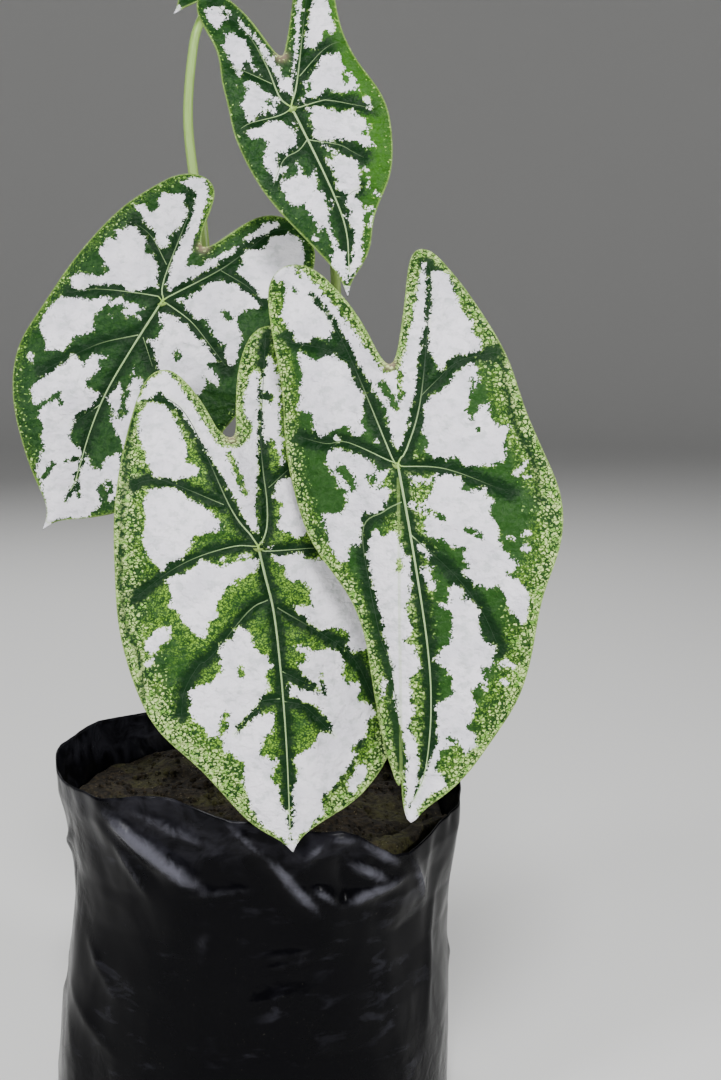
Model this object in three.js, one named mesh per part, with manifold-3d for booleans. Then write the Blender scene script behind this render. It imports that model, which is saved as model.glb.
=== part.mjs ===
// Potted white caladium: five marbled, arrow-shaped leaves on arching stalks that rise from one
// tuber, in a crumpled black nursery bag full of soil. Millimetres, +Z up, front towards -Y.
import * as THREE from "three";
import { mergeVertices } from "three/addons/utils/BufferGeometryUtils.js";
import Module from "manifold-3d";

const wasm = await Module();
wasm.setup();

// Driving dimensions
const GAP = 0.3; // between pieces that touch

const BAG_RADIUS = 75; // of the filled bag, half a 250 mm lay-flat tube filled round
const BAG_BELLY = 9; // how far the soil pushes the left side out near the bottom
const BAG_WAIST = 2.5; // how far the film draws in below the rim
const BAG_FLARE = 3.5; // how far the rim leans out
const BAG_BOTTOM_ROUND = 5; // height and inset of the bag's bottom edge
const BAG_FOLD = 0.8; // depth of the upright folds in the film
const FILM = 1.2; // wall of the bag
// Rim height every 22.5 degrees round the bag, from the left side round by the front
const RIM_HEIGHTS = [146, 141, 144, 149, 142, 137, 122, 128, 132, 136, 138, 140, 141, 142, 142, 145];
// Creases in the filled film: from and to are [degrees round the bag, share of the rim's height],
// width is half the crease's breadth and height how far it stands out.
const CREASES = [
  { from: [-134, 0.97], to: [-106, 0.66], width: 7, height: 2.6 },
  { from: [-118, 0.98], to: [-84, 0.8], width: 9, height: -2 },
  { from: [-80, 0.95], to: [-66, 0.68], width: 6, height: 2.6 },
  { from: [-70, 0.7], to: [-42, 0.86], width: 7, height: 2.4 },
  { from: [-57, 0.97], to: [-47, 0.72], width: 6, height: -2.2 },
  { from: [-158, 0.6], to: [-150, 0.12], width: 8, height: 2 },
  { from: [-100, 0.44], to: [-62, 0.5], width: 6, height: 1.6 },
  { from: [-92, 0.34], to: [-48, 0.37], width: 6, height: -1.4 },
  { from: [-20, 0.95], to: [2, 0.6], width: 8, height: 2.4 },
  { from: [44, 0.98], to: [30, 0.62], width: 8, height: -2.2 },
  { from: [82, 0.97], to: [100, 0.6], width: 9, height: 2.4 },
  { from: [140, 0.96], to: [122, 0.64], width: 7, height: 2.2 },
  { from: [60, 0.42], to: [112, 0.48], width: 7, height: -1.6 },
  { from: [172, 0.5], to: [150, 0.1], width: 9, height: 2 },
];

const SOIL_FILL = 0.86; // of the rim's height, at the wall
const SOIL_HEIGHT = 124; // at the crown, where the stalks come up
const SOIL_CLOD = 2.1; // height of the lumps on top
const SOIL_MOUND = { x: -38, y: 46, spread: 24, height: 8 };

const CROWN = new THREE.Vector2(0, 5); // where the stalks come out of the soil
const CROWN_RADIUS = 7.5; // of the ring that they stand in
const TUBER_RADIUS = 20;
const TUBER_HEIGHT = 28;
const TUBER_MIDDLE = 88; // height of its widest place
const TUBER_KNOB = 0.8;

const STALK_BASE = 3; // radius in the soil
const STALK_TOP = 1.8; // radius under the blade
const STALK_SINK = 1.1; // from the tuber's top to the stalk's end
const COLLAR = 3; // a stalk leans out only this far above the soil
const BLADE = 0.9; // thickness of a leaf
const FOLD_ROUND = 8; // the midrib fold is round within this distance

// One entry a leaf. Its stalk leaves the crown's ring at crownAngle. The blade is drawn flat, x to
// its right and y towards its lobes, from the point where the stalk joins it. "left" runs from the
// notch round the left lobe to the tip, and "right" from the tip back to the notch. lean tips the
// face up, roll turns the tip sideways and turn faces it about, in degrees. The folds are slopes of
// the two halves beside the midrib, whose bow to the right is stated. The bends are how far tip and
// lobes hang back, and ripple is the wave of the margin.
const LEAVES = [
  {
    joint: [15.3, -30, 385.9], crownAngle: 54,
    lean: 17, roll: 16.7, turn: 0,
    leftFold: 0.1, rightFold: 0.05, bow: 6, tipBend: -7, lobeBend: -8,
    ripple: { height: 1.3, waves: 5, start: 0.6 },
    left: [
      [2, 17], [0, 21], [-6, 40], [-11, 50], [-15, 56], [-19, 54], [-22, 45], [-20, 33], [-19, 25],
      [-21, 14], [-21, 6], [-22, -2], [-21, -14], [-18, -27], [-14, -37], [-7, -50], [-1, -61], [0, -67],
    ],
    right: [
      [0, -67], [3, -64], [12, -56], [16, -46], [21, -40], [26, -34], [30, -23], [32, -9], [30, 1],
      [27, 9], [25, 23], [27, 43], [26, 51], [22, 56], [18, 53], [14, 45], [8, 30], [2, 17],
    ],
    stalk: [[8, 10, 150], [19, 9, 220], [28, 7, 285], [30, 0, 330], [24, -12, 364]],
  },
  {
    joint: [-33.2, -15, 318.7], crownAngle: 198,
    lean: 14, roll: -26.9, turn: 0,
    leftFold: -0.12, rightFold: 0.08, bow: -3, tipBend: -9, lobeBend: -7,
    ripple: { height: 1.6, waves: 5, start: 2.1 },
    left: [
      [4, 23], [2, 25], [0, 34], [-2, 45], [-5, 50], [-11, 51], [-19, 47], [-23, 40], [-29, 28],
      [-34, 12], [-38, -5], [-40, -22], [-41, -36], [-38, -47], [-32, -58], [-23, -69], [-13, -79],
      [-4, -86], [-2, -92],
    ],
    right: [
      [-2, -92], [1, -89], [10, -84], [19, -78], [27, -70], [34, -55], [40, -40], [44, -25], [47, -8],
      [47, 8], [45, 30], [42, 42], [35, 48], [27, 50], [19, 48], [13, 40], [9, 30], [4, 23],
    ],
    stalk: [[-11, 6, 160], [-20, 10, 220], [-28, 8, 275], [-32, -1, 303]],
  },
  {
    joint: [4.1, -60, 235.4], crownAngle: 270,
    lean: 18, roll: 6.6, turn: 3,
    leftFold: -0.07, rightFold: -0.08, bow: 3, tipBend: -9, lobeBend: -9,
    ripple: { height: 1.8, waves: 6, start: 0.2 },
    left: [
      [-3, 38], [-6, 37], [-9, 42], [-14, 55], [-25, 70], [-31, 68], [-34, 64], [-39, 52], [-44, 36],
      [-48, 18], [-50, 0], [-51, -23], [-47, -45], [-42, -58], [-29, -73], [-22, -83], [-13, -95],
      [-1, -103],
    ],
    right: [
      [-1, -103], [6, -98], [13, -95], [22, -91], [34, -80], [39, -71], [42, -58], [43, -38],
      [42, -20], [39, 0], [34, 25], [28, 50], [20, 76], [14, 82], [8, 80], [4, 74], [0, 63],
      [-2, 49], [-3, 38],
    ],
    stalk: [[0, -7, 147], [1.5, -22, 182], [3, -42, 213]],
  },
  {
    joint: [52, -75, 265.9], crownAngle: -18,
    lean: 16, roll: 0.5, turn: 0,
    leftFold: -0.34, rightFold: -0.03, bow: 10, tipBend: -10, lobeBend: -9,
    ripple: { height: 2, waves: 6, start: 1.2 },
    left: [
      [-2, 31], [-5, 34], [-10, 46], [-18, 60], [-26, 70], [-33, 75], [-39, 75], [-44, 70], [-43, 50],
      [-41, 39], [-39, 28], [-38, 7], [-34, -12], [-29, -26], [-17, -43], [-12, -55], [-9, -74],
      [-5, -96], [0, -110], [0, -119],
    ],
    right: [
      [0, -119], [2, -117], [11, -112], [21, -104], [30, -92], [39, -79], [43, -67], [47, -45],
      [53, -30], [55, -20], [54, -9], [48, 6], [42, 21], [38, 35], [30, 50], [21, 65], [15, 73],
      [9, 80], [6, 77], [3, 57], [1, 40], [-2, 31],
    ],
    stalk: [[10, 0, 140], [26, -14, 195], [43, -40, 235]],
  },
  {
    joint: [-1, 50, 468.5], crownAngle: 126,
    lean: 40, roll: -30, turn: 0,
    leftFold: 0.12, rightFold: 0.1, bow: 2, tipBend: -4, lobeBend: -6,
    ripple: { height: 1.2, waves: 5, start: 0.9 },
    left: [
      [0, 12], [-3, 20], [-7, 29], [-12, 34], [-17, 34], [-21, 28], [-23, 15], [-25, 0], [-23, -14],
      [-18, -28], [-10, -42], [-3, -52], [0, -58],
    ],
    right: [
      [0, -58], [3, -53], [11, -42], [19, -29], [24, -14], [25, 1], [24, 15], [22, 27], [17, 34],
      [12, 33], [7, 28], [3, 20], [0, 12],
    ],
    stalk: [
      [-9, 15, 170], [-16, 20, 250], [-21.5, 25, 341], [-25.5, 27, 368], [-27.3, 29, 389],
      [-25.6, 31, 411], [-22.5, 34, 425], [-13, 45, 445], [-6, 51, 457],
    ],
  },
];

// Fineness of the surfaces
const ROUND_BAG = 66;
const ROUND_STALK = 8;
const ROUND_HOLE = 16;
const ROUND_TUBER = 20;
const TUBER_STEPS = 7;
const STALK_STEP = 15; // of the leaf's height for each ring of its stalk
const SPOKES_A_SIDE = 30;
const BLADE_RINGS = [0.13, 0.3, 0.48, 0.66, 0.84, 1];
const WALL_RISES = [0.045, 0.11, 0.22, 0.36, 0.5, 0.63, 0.74, SOIL_FILL, 0.93];
const SOIL_SHARES = [0.86, 0.72, 0.58, 0.44, 0.3, 0.15];

const MATERIALS = {
  film: new THREE.MeshStandardMaterial({ color: 0x15161b, roughness: 0.38, metalness: 0 }),
  soil: new THREE.MeshStandardMaterial({ color: 0x34291c, roughness: 1, metalness: 0 }),
  tuber: new THREE.MeshStandardMaterial({ color: 0x6a4a30, roughness: 0.9, metalness: 0 }),
  blade: new THREE.MeshStandardMaterial({ color: 0xc9d6bd, roughness: 0.5, metalness: 0 }),
  stalk: new THREE.MeshStandardMaterial({ color: 0xb4cb80, roughness: 0.45, metalness: 0 }),
};

const part = new THREE.Group();

function addPiece(name, geometry, material, parent = part) {
  const mesh = new THREE.Mesh(geometry, material);
  mesh.name = name;
  parent.add(mesh);
  return mesh;
}

function geometryFrom(points, triangles) {
  const geometry = new THREE.BufferGeometry().setFromPoints(points);
  geometry.setIndex(triangles);
  return geometry;
}

// A closed skin over rings of points, each ring counter-clockwise about the way the rings
// advance, with a pole at either end. Two skins that lie against each other, one with its rings
// rising and one with them falling, split their faces alike if one of them is slanted back.
function closedSkin(rings, firstPole, lastPole, slantBack = false) {
  const around = rings[0].length;
  const points = [...rings.flat(), firstPole, lastPole];
  const first = points.length - 2;
  const last = points.length - 1;
  const top = (rings.length - 1) * around;
  const triangles = [];
  for (let j = 0; j < around; j++) {
    const next = (j + 1) % around;
    triangles.push(first, next, j);
    for (let start = 0; start < top; start += around) {
      const a = start + j;
      const b = start + next;
      const c = a + around;
      const d = b + around;
      triangles.push(...(slantBack ? [a, b, d, a, d, c] : [a, b, c, b, d, c]));
    }
    triangles.push(last, top + j, top + next);
  }
  return geometryFrom(points, triangles);
}

// Rim height at an angle, eased between the stated heights.
function rimHeight(angle) {
  const count = RIM_HEIGHTS.length;
  const place = ((angle + Math.PI) / (2 * Math.PI)) * count;
  const low = Math.floor(place + 1e-9);
  const ease = (1 - Math.cos((place - low) * Math.PI)) / 2;
  const from = RIM_HEIGHTS[((low % count) + count) % count];
  const to = RIM_HEIGHTS[(((low + 1) % count) + count) % count];
  return from + (to - from) * ease;
}

// How far the creases push the film out at an angle and a fraction of the rim's height.
function creaseDepth(angle, rise) {
  const degree = THREE.MathUtils.radToDeg(angle);
  const arc = (BAG_RADIUS * Math.PI) / 180;
  let depth = 0;
  for (const { from, to, width, height } of CREASES) {
    const turned = THREE.MathUtils.euclideanModulo(degree - from[0] + 180, 360) - 180;
    const x = turned * arc;
    const y = (rise - from[1]) * SOIL_HEIGHT;
    const alongX = (to[0] - from[0]) * arc;
    const alongY = (to[1] - from[1]) * SOIL_HEIGHT;
    const reach = Math.hypot(alongX, alongY);
    const share = THREE.MathUtils.clamp((x * alongX + y * alongY) / reach ** 2, 0, 1);
    const off = Math.hypot(x - alongX * share, y - alongY * share);
    depth += height * Math.exp(-((off / width) ** 2));
  }
  return depth;
}

// Outer radius of the bag at an angle and a fraction of the rim's height.
function bagRadius(angle, rise) {
  const left = Math.max(0, -Math.cos(angle + 0.3));
  const low = Math.exp(-(((rise - 0.06) / 0.32) ** 2));
  const waist = Math.exp(-(((rise - 0.66) / 0.16) ** 2));
  const flare = THREE.MathUtils.smoothstep(rise, 0.78, 1);
  const foldShare = 0.35 + 0.65 * THREE.MathUtils.smoothstep(rise, 0.45, 1);
  const folds = Math.sin(7 * angle + 1 + 2.4 * rise) + 0.7 * Math.sin(11 * angle - 3.1 * rise);
  const shape = BAG_BELLY * left * low - BAG_WAIST * waist + BAG_FLARE * flare;
  return BAG_RADIUS + shape + BAG_FOLD * foldShare * folds + creaseDepth(angle, rise);
}

function ringOf(count, pointAt) {
  return Array.from({ length: count }, (_, j) => pointAt(-Math.PI + (j / count) * 2 * Math.PI));
}

// A ring in the bag's wall, inset from its outer face.
function wallRing(rise, inset) {
  return ringOf(ROUND_BAG, (angle) => {
    const radius = bagRadius(angle, rise) - inset;
    return new THREE.Vector3(radius * Math.cos(angle), radius * Math.sin(angle), rise * rimHeight(angle));
  });
}

function floorRing(scale, inset, height) {
  return ringOf(ROUND_BAG, (angle) => {
    const radius = (bagRadius(angle, 0) - BAG_BOTTOM_ROUND - inset) * scale;
    return new THREE.Vector3(radius * Math.cos(angle), radius * Math.sin(angle), height);
  });
}

// Nursery bag: a flat bottom, a wall with a belly on the left, upright folds and an uneven rim
{
  const outside = WALL_RISES.map((rise) => wallRing(rise, 0));
  const inside = WALL_RISES.map((rise) => wallRing(rise, FILM)).reverse();
  const rings = [
    floorRing(0.5, 0, 0), floorRing(1, 0, 0),
    ...outside, wallRing(1, 0), wallRing(1, FILM), ...inside,
    floorRing(1, 0, FILM), floorRing(0.5, 0, FILM),
  ];
  const bag = closedSkin(rings, new THREE.Vector3(0, 0, 0), new THREE.Vector3(0, 0, FILM));
  addPiece("nursery_bag", bag, MATERIALS.film);
}

// A closed geometry as a solid that can be cut, and back.
function solidOf(geometry) {
  const bare = new THREE.BufferGeometry().setAttribute("position", geometry.getAttribute("position"));
  bare.setIndex(geometry.index);
  const merged = mergeVertices(bare, 1e-4);
  return new wasm.Manifold(
    new wasm.Mesh({
      numProp: 3,
      vertProperties: new Float32Array(merged.attributes.position.array),
      triVerts: new Uint32Array(merged.index.array),
    }),
  );
}

function geometryOf(solid) {
  const mesh = solid.getMesh();
  const geometry = new THREE.BufferGeometry();
  geometry.setAttribute("position", new THREE.BufferAttribute(mesh.vertProperties, 3));
  geometry.setIndex(new THREE.BufferAttribute(mesh.triVerts, 1));
  return geometry;
}

// Tuber: a flattened, knobbly ball, grown by a margin for the room it takes in the soil
function tuberGeometry(margin) {
  const rings = [];
  for (let i = 1; i < TUBER_STEPS; i++) {
    const latitude = -Math.PI / 2 + (i / TUBER_STEPS) * Math.PI;
    rings.push(
      ringOf(ROUND_TUBER, (angle) => {
        const knob = TUBER_KNOB * Math.sin(3 * angle + 2 * latitude) * Math.cos(latitude);
        const radius = (TUBER_RADIUS + knob) * Math.cos(latitude) + margin;
        const rise = (TUBER_HEIGHT / 2 + margin) * Math.sin(latitude);
        return new THREE.Vector3(
          CROWN.x + radius * Math.cos(angle), CROWN.y + radius * Math.sin(angle), TUBER_MIDDLE + rise,
        );
      }),
    );
  }
  const half = TUBER_HEIGHT / 2 + margin;
  const bottom = new THREE.Vector3(CROWN.x, CROWN.y, TUBER_MIDDLE - half);
  const top = new THREE.Vector3(CROWN.x, CROWN.y, TUBER_MIDDLE + half);
  return closedSkin(rings, bottom, top);
}
addPiece("tuber", tuberGeometry(0), MATERIALS.tuber);

// A tapering round stem along a smooth curve through the points. Its last ring lies square to
// endAxes, the blade's own x and y, so that it meets the blade flat.
function stemGeometry(points, baseRadius, topRadius, steps, endAxes) {
  const curve = new THREE.CatmullRomCurve3(points, false, "centripetal");
  const frames = curve.computeFrenetFrames(steps, false);
  const rings = [];
  for (let i = 0; i <= steps; i++) {
    const centre = curve.getPointAt(i / steps);
    const radius = baseRadius + (topRadius - baseRadius) * (i / steps);
    rings.push(
      Array.from({ length: ROUND_STALK }, (_, j) => {
        const angle = (j / ROUND_STALK) * 2 * Math.PI;
        const out = frames.normals[i].clone().multiplyScalar(radius * Math.cos(angle));
        out.addScaledVector(frames.binormals[i], radius * Math.sin(angle));
        return centre.clone().add(out);
      }),
    );
  }
  const facing = endAxes[0].clone().cross(endAxes[1]);
  const end = curve.getPointAt(1);
  for (const point of rings[steps]) {
    point.addScaledVector(facing, -facing.dot(point.clone().sub(end)));
  }
  return closedSkin(rings, curve.getPointAt(0), curve.getPointAt(1));
}

// How far the blade stands out of its flat plane at a point of it.
function bladeHeight(leaf, x, y, length, lobeLength) {
  const midrib = y < 0 ? leaf.bow * Math.sin((Math.PI * -y) / length) : 0;
  const fold = x < midrib ? leaf.leftFold : leaf.rightFold;
  const bend = y < 0 ? leaf.tipBend * (y / length) ** 2 : leaf.lobeBend * (y / lobeLength) ** 2;
  return fold * (Math.hypot(x - midrib, FOLD_ROUND) - FOLD_ROUND) + bend;
}

function sampleEdge(points, count) {
  const flat = points.map(([x, y]) => new THREE.Vector3(x, y, 0));
  const curve = new THREE.CatmullRomCurve3(flat, false, "centripetal");
  return Array.from({ length: count }, (_, i) => curve.getPointAt(i / count));
}

// Leaf blade: spokes from the stalk's joint out to the margin, with the same triangles on both
// faces.
function bladeGeometry(leaf) {
  const margin = [...sampleEdge(leaf.left, SPOKES_A_SIDE), ...sampleEdge(leaf.right, SPOKES_A_SIDE)];
  const spokes = margin.length;
  const length = -Math.min(...margin.map((p) => p.y));
  const lobeLength = Math.max(...margin.map((p) => p.y));
  const upper = [];
  for (const share of BLADE_RINGS) {
    margin.forEach((edge, j) => {
      const x = edge.x * share;
      const y = edge.y * share;
      const phase = (j / spokes) * 2 * Math.PI * leaf.ripple.waves + leaf.ripple.start;
      const wave = leaf.ripple.height * share ** 3 * Math.sin(phase);
      upper.push(new THREE.Vector3(x, y, bladeHeight(leaf, x, y, length, lobeLength) + wave));
    });
  }
  upper.push(new THREE.Vector3(0, 0, bladeHeight(leaf, 0, 0, length, lobeLength)));
  const lower = upper.map((p) => new THREE.Vector3(p.x, p.y, p.z - BLADE));
  const below = upper.length;
  const centre = below - 1;
  const triangles = [];
  const bothFaces = (a, b, c) => triangles.push(a, b, c, below + a, below + c, below + b);
  for (let j = 0; j < spokes; j++) {
    const next = (j + 1) % spokes;
    bothFaces(centre, j, next);
    for (let ring = 1; ring < BLADE_RINGS.length; ring++) {
      const inner = (ring - 1) * spokes;
      const outer = ring * spokes;
      bothFaces(inner + j, outer + j, outer + next);
      bothFaces(inner + j, outer + next, inner + next);
    }
    const rim = (BLADE_RINGS.length - 1) * spokes;
    triangles.push(rim + j, below + rim + j, below + rim + next);
    triangles.push(rim + j, below + rim + next, rim + next);
  }
  return geometryFrom([...upper, ...lower], triangles);
}

function placeOf(leaf) {
  const toRadians = THREE.MathUtils.degToRad;
  const place = new THREE.Matrix4().makeRotationZ(toRadians(leaf.turn));
  place.multiply(new THREE.Matrix4().makeRotationX(toRadians(90 - leaf.lean)));
  place.multiply(new THREE.Matrix4().makeRotationZ(toRadians(leaf.roll)));
  return place.setPosition(...leaf.joint);
}

// Height of the tuber's top over a point of the crown.
function tuberTop(x, y) {
  const out = Math.hypot(x - CROWN.x, y - CROWN.y) / TUBER_RADIUS;
  return TUBER_MIDDLE + (TUBER_HEIGHT / 2) * Math.sqrt(1 - out * out);
}

// A plain upright hole, as the solid to cut away.
function holeGeometry(x, y, low, high, radius) {
  const reach = radius / Math.cos(Math.PI / ROUND_HOLE);
  const circle = (z) =>
    ringOf(ROUND_HOLE, (angle) => {
      return new THREE.Vector3(x + reach * Math.cos(angle), y + reach * Math.sin(angle), z);
    });
  return closedSkin([circle(low), circle(high)], new THREE.Vector3(x, y, low), new THREE.Vector3(x, y, high));
}

// Leaves: each a stalk from the crown's ring and the blade that it carries at its joint
const soilHoles = [];
LEAVES.forEach((leaf, index) => {
  const place = placeOf(leaf);
  const angle = THREE.MathUtils.degToRad(leaf.crownAngle);
  const x = CROWN.x + CROWN_RADIUS * Math.cos(angle);
  const y = CROWN.y + CROWN_RADIUS * Math.sin(angle);
  const foot = new THREE.Vector3(x, y, tuberTop(x, y) + STALK_SINK);
  const collar = new THREE.Vector3(x, y, SOIL_HEIGHT + COLLAR);
  const seat = new THREE.Vector3(0, 0, -BLADE - GAP).applyMatrix4(place);
  const route = [foot, collar, ...leaf.stalk.map((p) => new THREE.Vector3(...p)), seat];
  const steps = Math.round(leaf.joint[2] / STALK_STEP);
  const axes = [0, 1].map((i) => new THREE.Vector3().setFromMatrixColumn(place, i));
  const stalk = stemGeometry(route, STALK_BASE, STALK_TOP, steps, axes);
  addPiece(`leaf_${index + 1}_stalk`, stalk, MATERIALS.stalk);

  const blade = addPiece(`leaf_${index + 1}_blade`, bladeGeometry(leaf), MATERIALS.blade);
  blade.applyMatrix4(place);

  const holeFloor = foot.z - 2 * STALK_SINK;
  const holeTop = SOIL_HEIGHT + 2 * COLLAR;
  soilHoles.push(holeGeometry(x, y, holeFloor, holeTop, STALK_BASE + GAP));
});

// Lumpy top of the soil: level at the crown, where the stalks' holes are, down to its edge.
function soilTop(x, y, share, edgeHeight) {
  const { x: moundX, y: moundY, spread, height } = SOIL_MOUND;
  const mound = height * Math.exp(-(((x - moundX) / spread) ** 2) - ((y - moundY) / spread) ** 2);
  const lumps = Math.sin(x / 7 + 2 * Math.sin(y / 11)) * Math.cos(y / 8 + 1.3 * Math.sin(x / 13));
  const fromCrown = Math.hypot(x - CROWN.x, y - CROWN.y);
  const rough = THREE.MathUtils.smoothstep(fromCrown, CROWN_RADIUS + 6, CROWN_RADIUS + 17);
  const level = SOIL_HEIGHT + (edgeHeight - SOIL_HEIGHT) * share ** 2.5;
  return level + (mound + SOIL_CLOD * lumps) * rough * (1 - share ** 6);
}

// Soil: fills the bag to just below the rim, with a room for the tuber and a hole for each stalk
{
  const inset = FILM + GAP;
  const walls = WALL_RISES.filter((rise) => rise <= SOIL_FILL).map((rise) => wallRing(rise, inset));
  const tops = SOIL_SHARES.map((share) =>
    ringOf(ROUND_BAG, (angle) => {
      const radius = (bagRadius(angle, SOIL_FILL) - inset) * share;
      const x = radius * Math.cos(angle) + CROWN.x * (1 - share);
      const y = radius * Math.sin(angle) + CROWN.y * (1 - share);
      return new THREE.Vector3(x, y, soilTop(x, y, share, SOIL_FILL * rimHeight(angle)));
    }),
  );
  const low = FILM + GAP;
  const rings = [floorRing(0.5, GAP, low), floorRing(1, GAP, low), ...walls, ...tops];
  const bottom = new THREE.Vector3(0, 0, low);
  const top = new THREE.Vector3(CROWN.x, CROWN.y, SOIL_HEIGHT);
  let soil = solidOf(closedSkin(rings, bottom, top, true)).subtract(solidOf(tuberGeometry(GAP)));
  for (const hole of soilHoles) {
    soil = soil.subtract(solidOf(hole));
  }
  addPiece("soil", geometryOf(soil), MATERIALS.soil);
}

export default part;
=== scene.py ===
import math
import random

import bmesh
import bpy
import numpy as np
from mathutils import Matrix, Vector, noise
from mathutils.bvhtree import BVHTree


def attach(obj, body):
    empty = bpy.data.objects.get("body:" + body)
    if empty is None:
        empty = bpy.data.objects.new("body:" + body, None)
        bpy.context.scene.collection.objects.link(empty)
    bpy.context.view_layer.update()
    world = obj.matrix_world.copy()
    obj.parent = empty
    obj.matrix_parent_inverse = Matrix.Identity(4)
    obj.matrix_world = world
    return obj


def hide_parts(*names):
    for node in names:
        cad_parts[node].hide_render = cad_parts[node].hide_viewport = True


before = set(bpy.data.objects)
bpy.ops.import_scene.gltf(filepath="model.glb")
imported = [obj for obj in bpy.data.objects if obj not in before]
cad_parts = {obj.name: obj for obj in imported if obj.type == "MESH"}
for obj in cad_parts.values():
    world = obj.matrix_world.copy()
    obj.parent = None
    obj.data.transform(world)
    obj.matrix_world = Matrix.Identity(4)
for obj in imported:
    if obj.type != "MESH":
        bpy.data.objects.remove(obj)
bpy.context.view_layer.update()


# Nursery bag
# A grow bag of black polythene film, blown as a tube, sealed flat across the bottom and cut by
# hand at the top. Damp soil holds it round, and the slack film over the soil creases sharply.
MM = 0.001
BAG_SEGMENTS = 320
BAG_ROWS = 120
BAG_FLOOR_SHARES = (0, 0.2, 0.4, 0.6, 0.8, 0.93)
BAG_RADIUS = 76
FILM = 0.4
RIM_SPOKES = 66  # points round the solid's rim
FACET_PASSES = 26  # smoothing that takes the solid's facets out of the film
SOIL_SHARE = 0.86  # of the rim's height that the soil reaches at the wall
# Sharp creases in the film as (degrees round the bag, height) from and to, then the half width
# and how far the crest stands out. Negative ones are pressed in.
CREASES = [
    ((-130, 139), (-102, 115), 3.6, 3.7),
    ((-133, 137), (-112, 112), 4.0, -1.9),
    ((-129, 128), (-119, 110), 2.2, 1.4),
    ((-124, 143), (-98, 131), 2.9, 1.8),
    ((-112, 144), (-90, 126), 3.6, -1.4),
    ((-96, 143), (-85, 128), 1.9, 1.9),
    ((-91, 138), (-78, 117), 2.6, -1.2),
    ((-86, 131), (-70, 104), 2.5, 2.6),
    ((-76, 127), (-70, 134), 2.0, 1.8),
    ((-70, 135), (-60, 131), 1.9, 1.8),
    ((-60, 131), (-46, 118), 2.5, 2.3),
    ((-66, 128), (-62, 108), 3.0, -1.8),
    ((-63, 124), (-50, 113), 2.7, 2.6),
    ((-58, 119), (-52, 124), 2.2, -1.1),
    ((-64, 107), (-45, 113), 2.7, 2.6),
    ((-73, 117), (-66, 109), 1.9, 2.1),
    ((-108, 113), (-88, 115), 2.2, 1.1),
    ((-101, 105), (-104, 84), 3.4, 1.1),
    ((-88, 89), (-69, 92), 2.4, 1.0),
    ((-86, 85), (-71, 89), 2.0, 1.3),
    ((-90, 73), (-77, 77), 2.4, 1.0),
    ((-149, 84), (-132, 66), 3.0, 0.9),
    ((-156, 60), (-131, 44), 3.2, 0.9),
    ((-44, 122), (-30, 96), 2.9, 2.1),
    ((-22, 104), (-31, 40), 3.2, 1.0),
]
SHEEN_CREST = 3.4  # crest height at which the painted highlight on the film is brightest
BACK_CREASES = 46  # drawn at random where the photograph doesn't show the bag
BACK_FROM, BACK_TO = -24, 206  # degrees round the bag
BACK_TOP = 140
BACK_SPAN = 120  # down from there, with most of the creases high up
SHEEN_FROM, SHEEN_OVER = 60, 50  # heights between which the painted highlights on the crests fade in
SLACK_FROM, SLACK_OVER = 0.66, 0.25  # shares of the rim's height between which the film goes slack
random.seed(11)
for _ in range(BACK_CREASES):
    angle = random.uniform(BACK_FROM, BACK_TO)
    height = BACK_TOP - BACK_SPAN * random.random() ** 2.2
    lean = random.uniform(-16, 16)
    drop = random.uniform(10, 30)
    crest = random.uniform(-1.1, 1.6) * (0.4 + 0.6 * height / BACK_TOP)
    CREASES.append(((angle, height), (angle + lean, height - drop), random.uniform(2, 4), crest))


def copy_of(node):
    """Merged copy of a node's solid, in millimetres."""
    solid = bmesh.new()
    solid.from_mesh(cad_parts[node].data)
    bmesh.ops.remove_doubles(solid, verts=solid.verts, dist=1e-6)
    bmesh.ops.scale(solid, verts=solid.verts, vec=Vector((1, 1, 1)) / MM)
    return solid


def segment_distance(points, start, end):
    """Distance of each point from a straight segment, and the share along it."""
    start, end = np.asarray(start, float), np.asarray(end, float)
    along = end - start
    share = np.clip((points - start) @ along / max(along @ along, 1e-9), 0, 1)
    return np.linalg.norm(points - start - share[:, None] * along, axis=1), share


def as_piece(name, shape, finishes, node=None):
    """Puts a bmesh or a mesh, already in metres, into the scene as a piece of the plant."""
    mesh = shape
    if isinstance(shape, bmesh.types.BMesh):
        mesh = bpy.data.meshes.new(name)
        shape.to_mesh(mesh)
        shape.free()
    for finish in finishes:
        mesh.materials.append(finish)
    mesh.shade_smooth()
    piece = bpy.data.objects.new(name, mesh)
    bpy.context.scene.collection.objects.link(piece)
    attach(piece, "root")
    if node:
        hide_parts(node)
    return piece


def new_finish(name, **sockets):
    """Principled finish with its constant sockets set, underscores standing for spaces."""
    finish = bpy.data.materials.new(name)
    finish.use_nodes = True
    shader = finish.node_tree.nodes["Principled BSDF"]
    for socket, value in sockets.items():
        shader.inputs[socket.replace("_", " ")].default_value = value
    return finish


def wire(finish, kind, inputs, **settings):
    """Adds a shader node, with numbers set and sockets linked to its inputs."""
    made = finish.node_tree.nodes.new(kind)
    for key, value in settings.items():
        setattr(made, key, value)
    for key, value in inputs.items():
        if isinstance(value, bpy.types.NodeSocket):
            finish.node_tree.links.new(value, made.inputs[key])
        else:
            made.inputs[key].default_value = value
    return made


def place_on(finish):
    return wire(finish, "ShaderNodeTexCoord", {}).outputs["Object"]


def grain(finish, place, scale, detail=2.0, roughness=0.5, distortion=0.0):
    """Noise of a scale given in waves per metre."""
    inputs = {
        "Vector": place, "Scale": scale, "Detail": detail,
        "Roughness": roughness, "Distortion": distortion,
    }
    return wire(finish, "ShaderNodeTexNoise", inputs).outputs["Fac"]


def sums(finish, operation, first, second, third=0.5):
    inputs = {0: first, 1: second, 2: third}
    return wire(finish, "ShaderNodeMath", inputs, operation=operation).outputs[0]


def times(finish, first, second):
    return sums(finish, "MULTIPLY", first, second)


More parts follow.
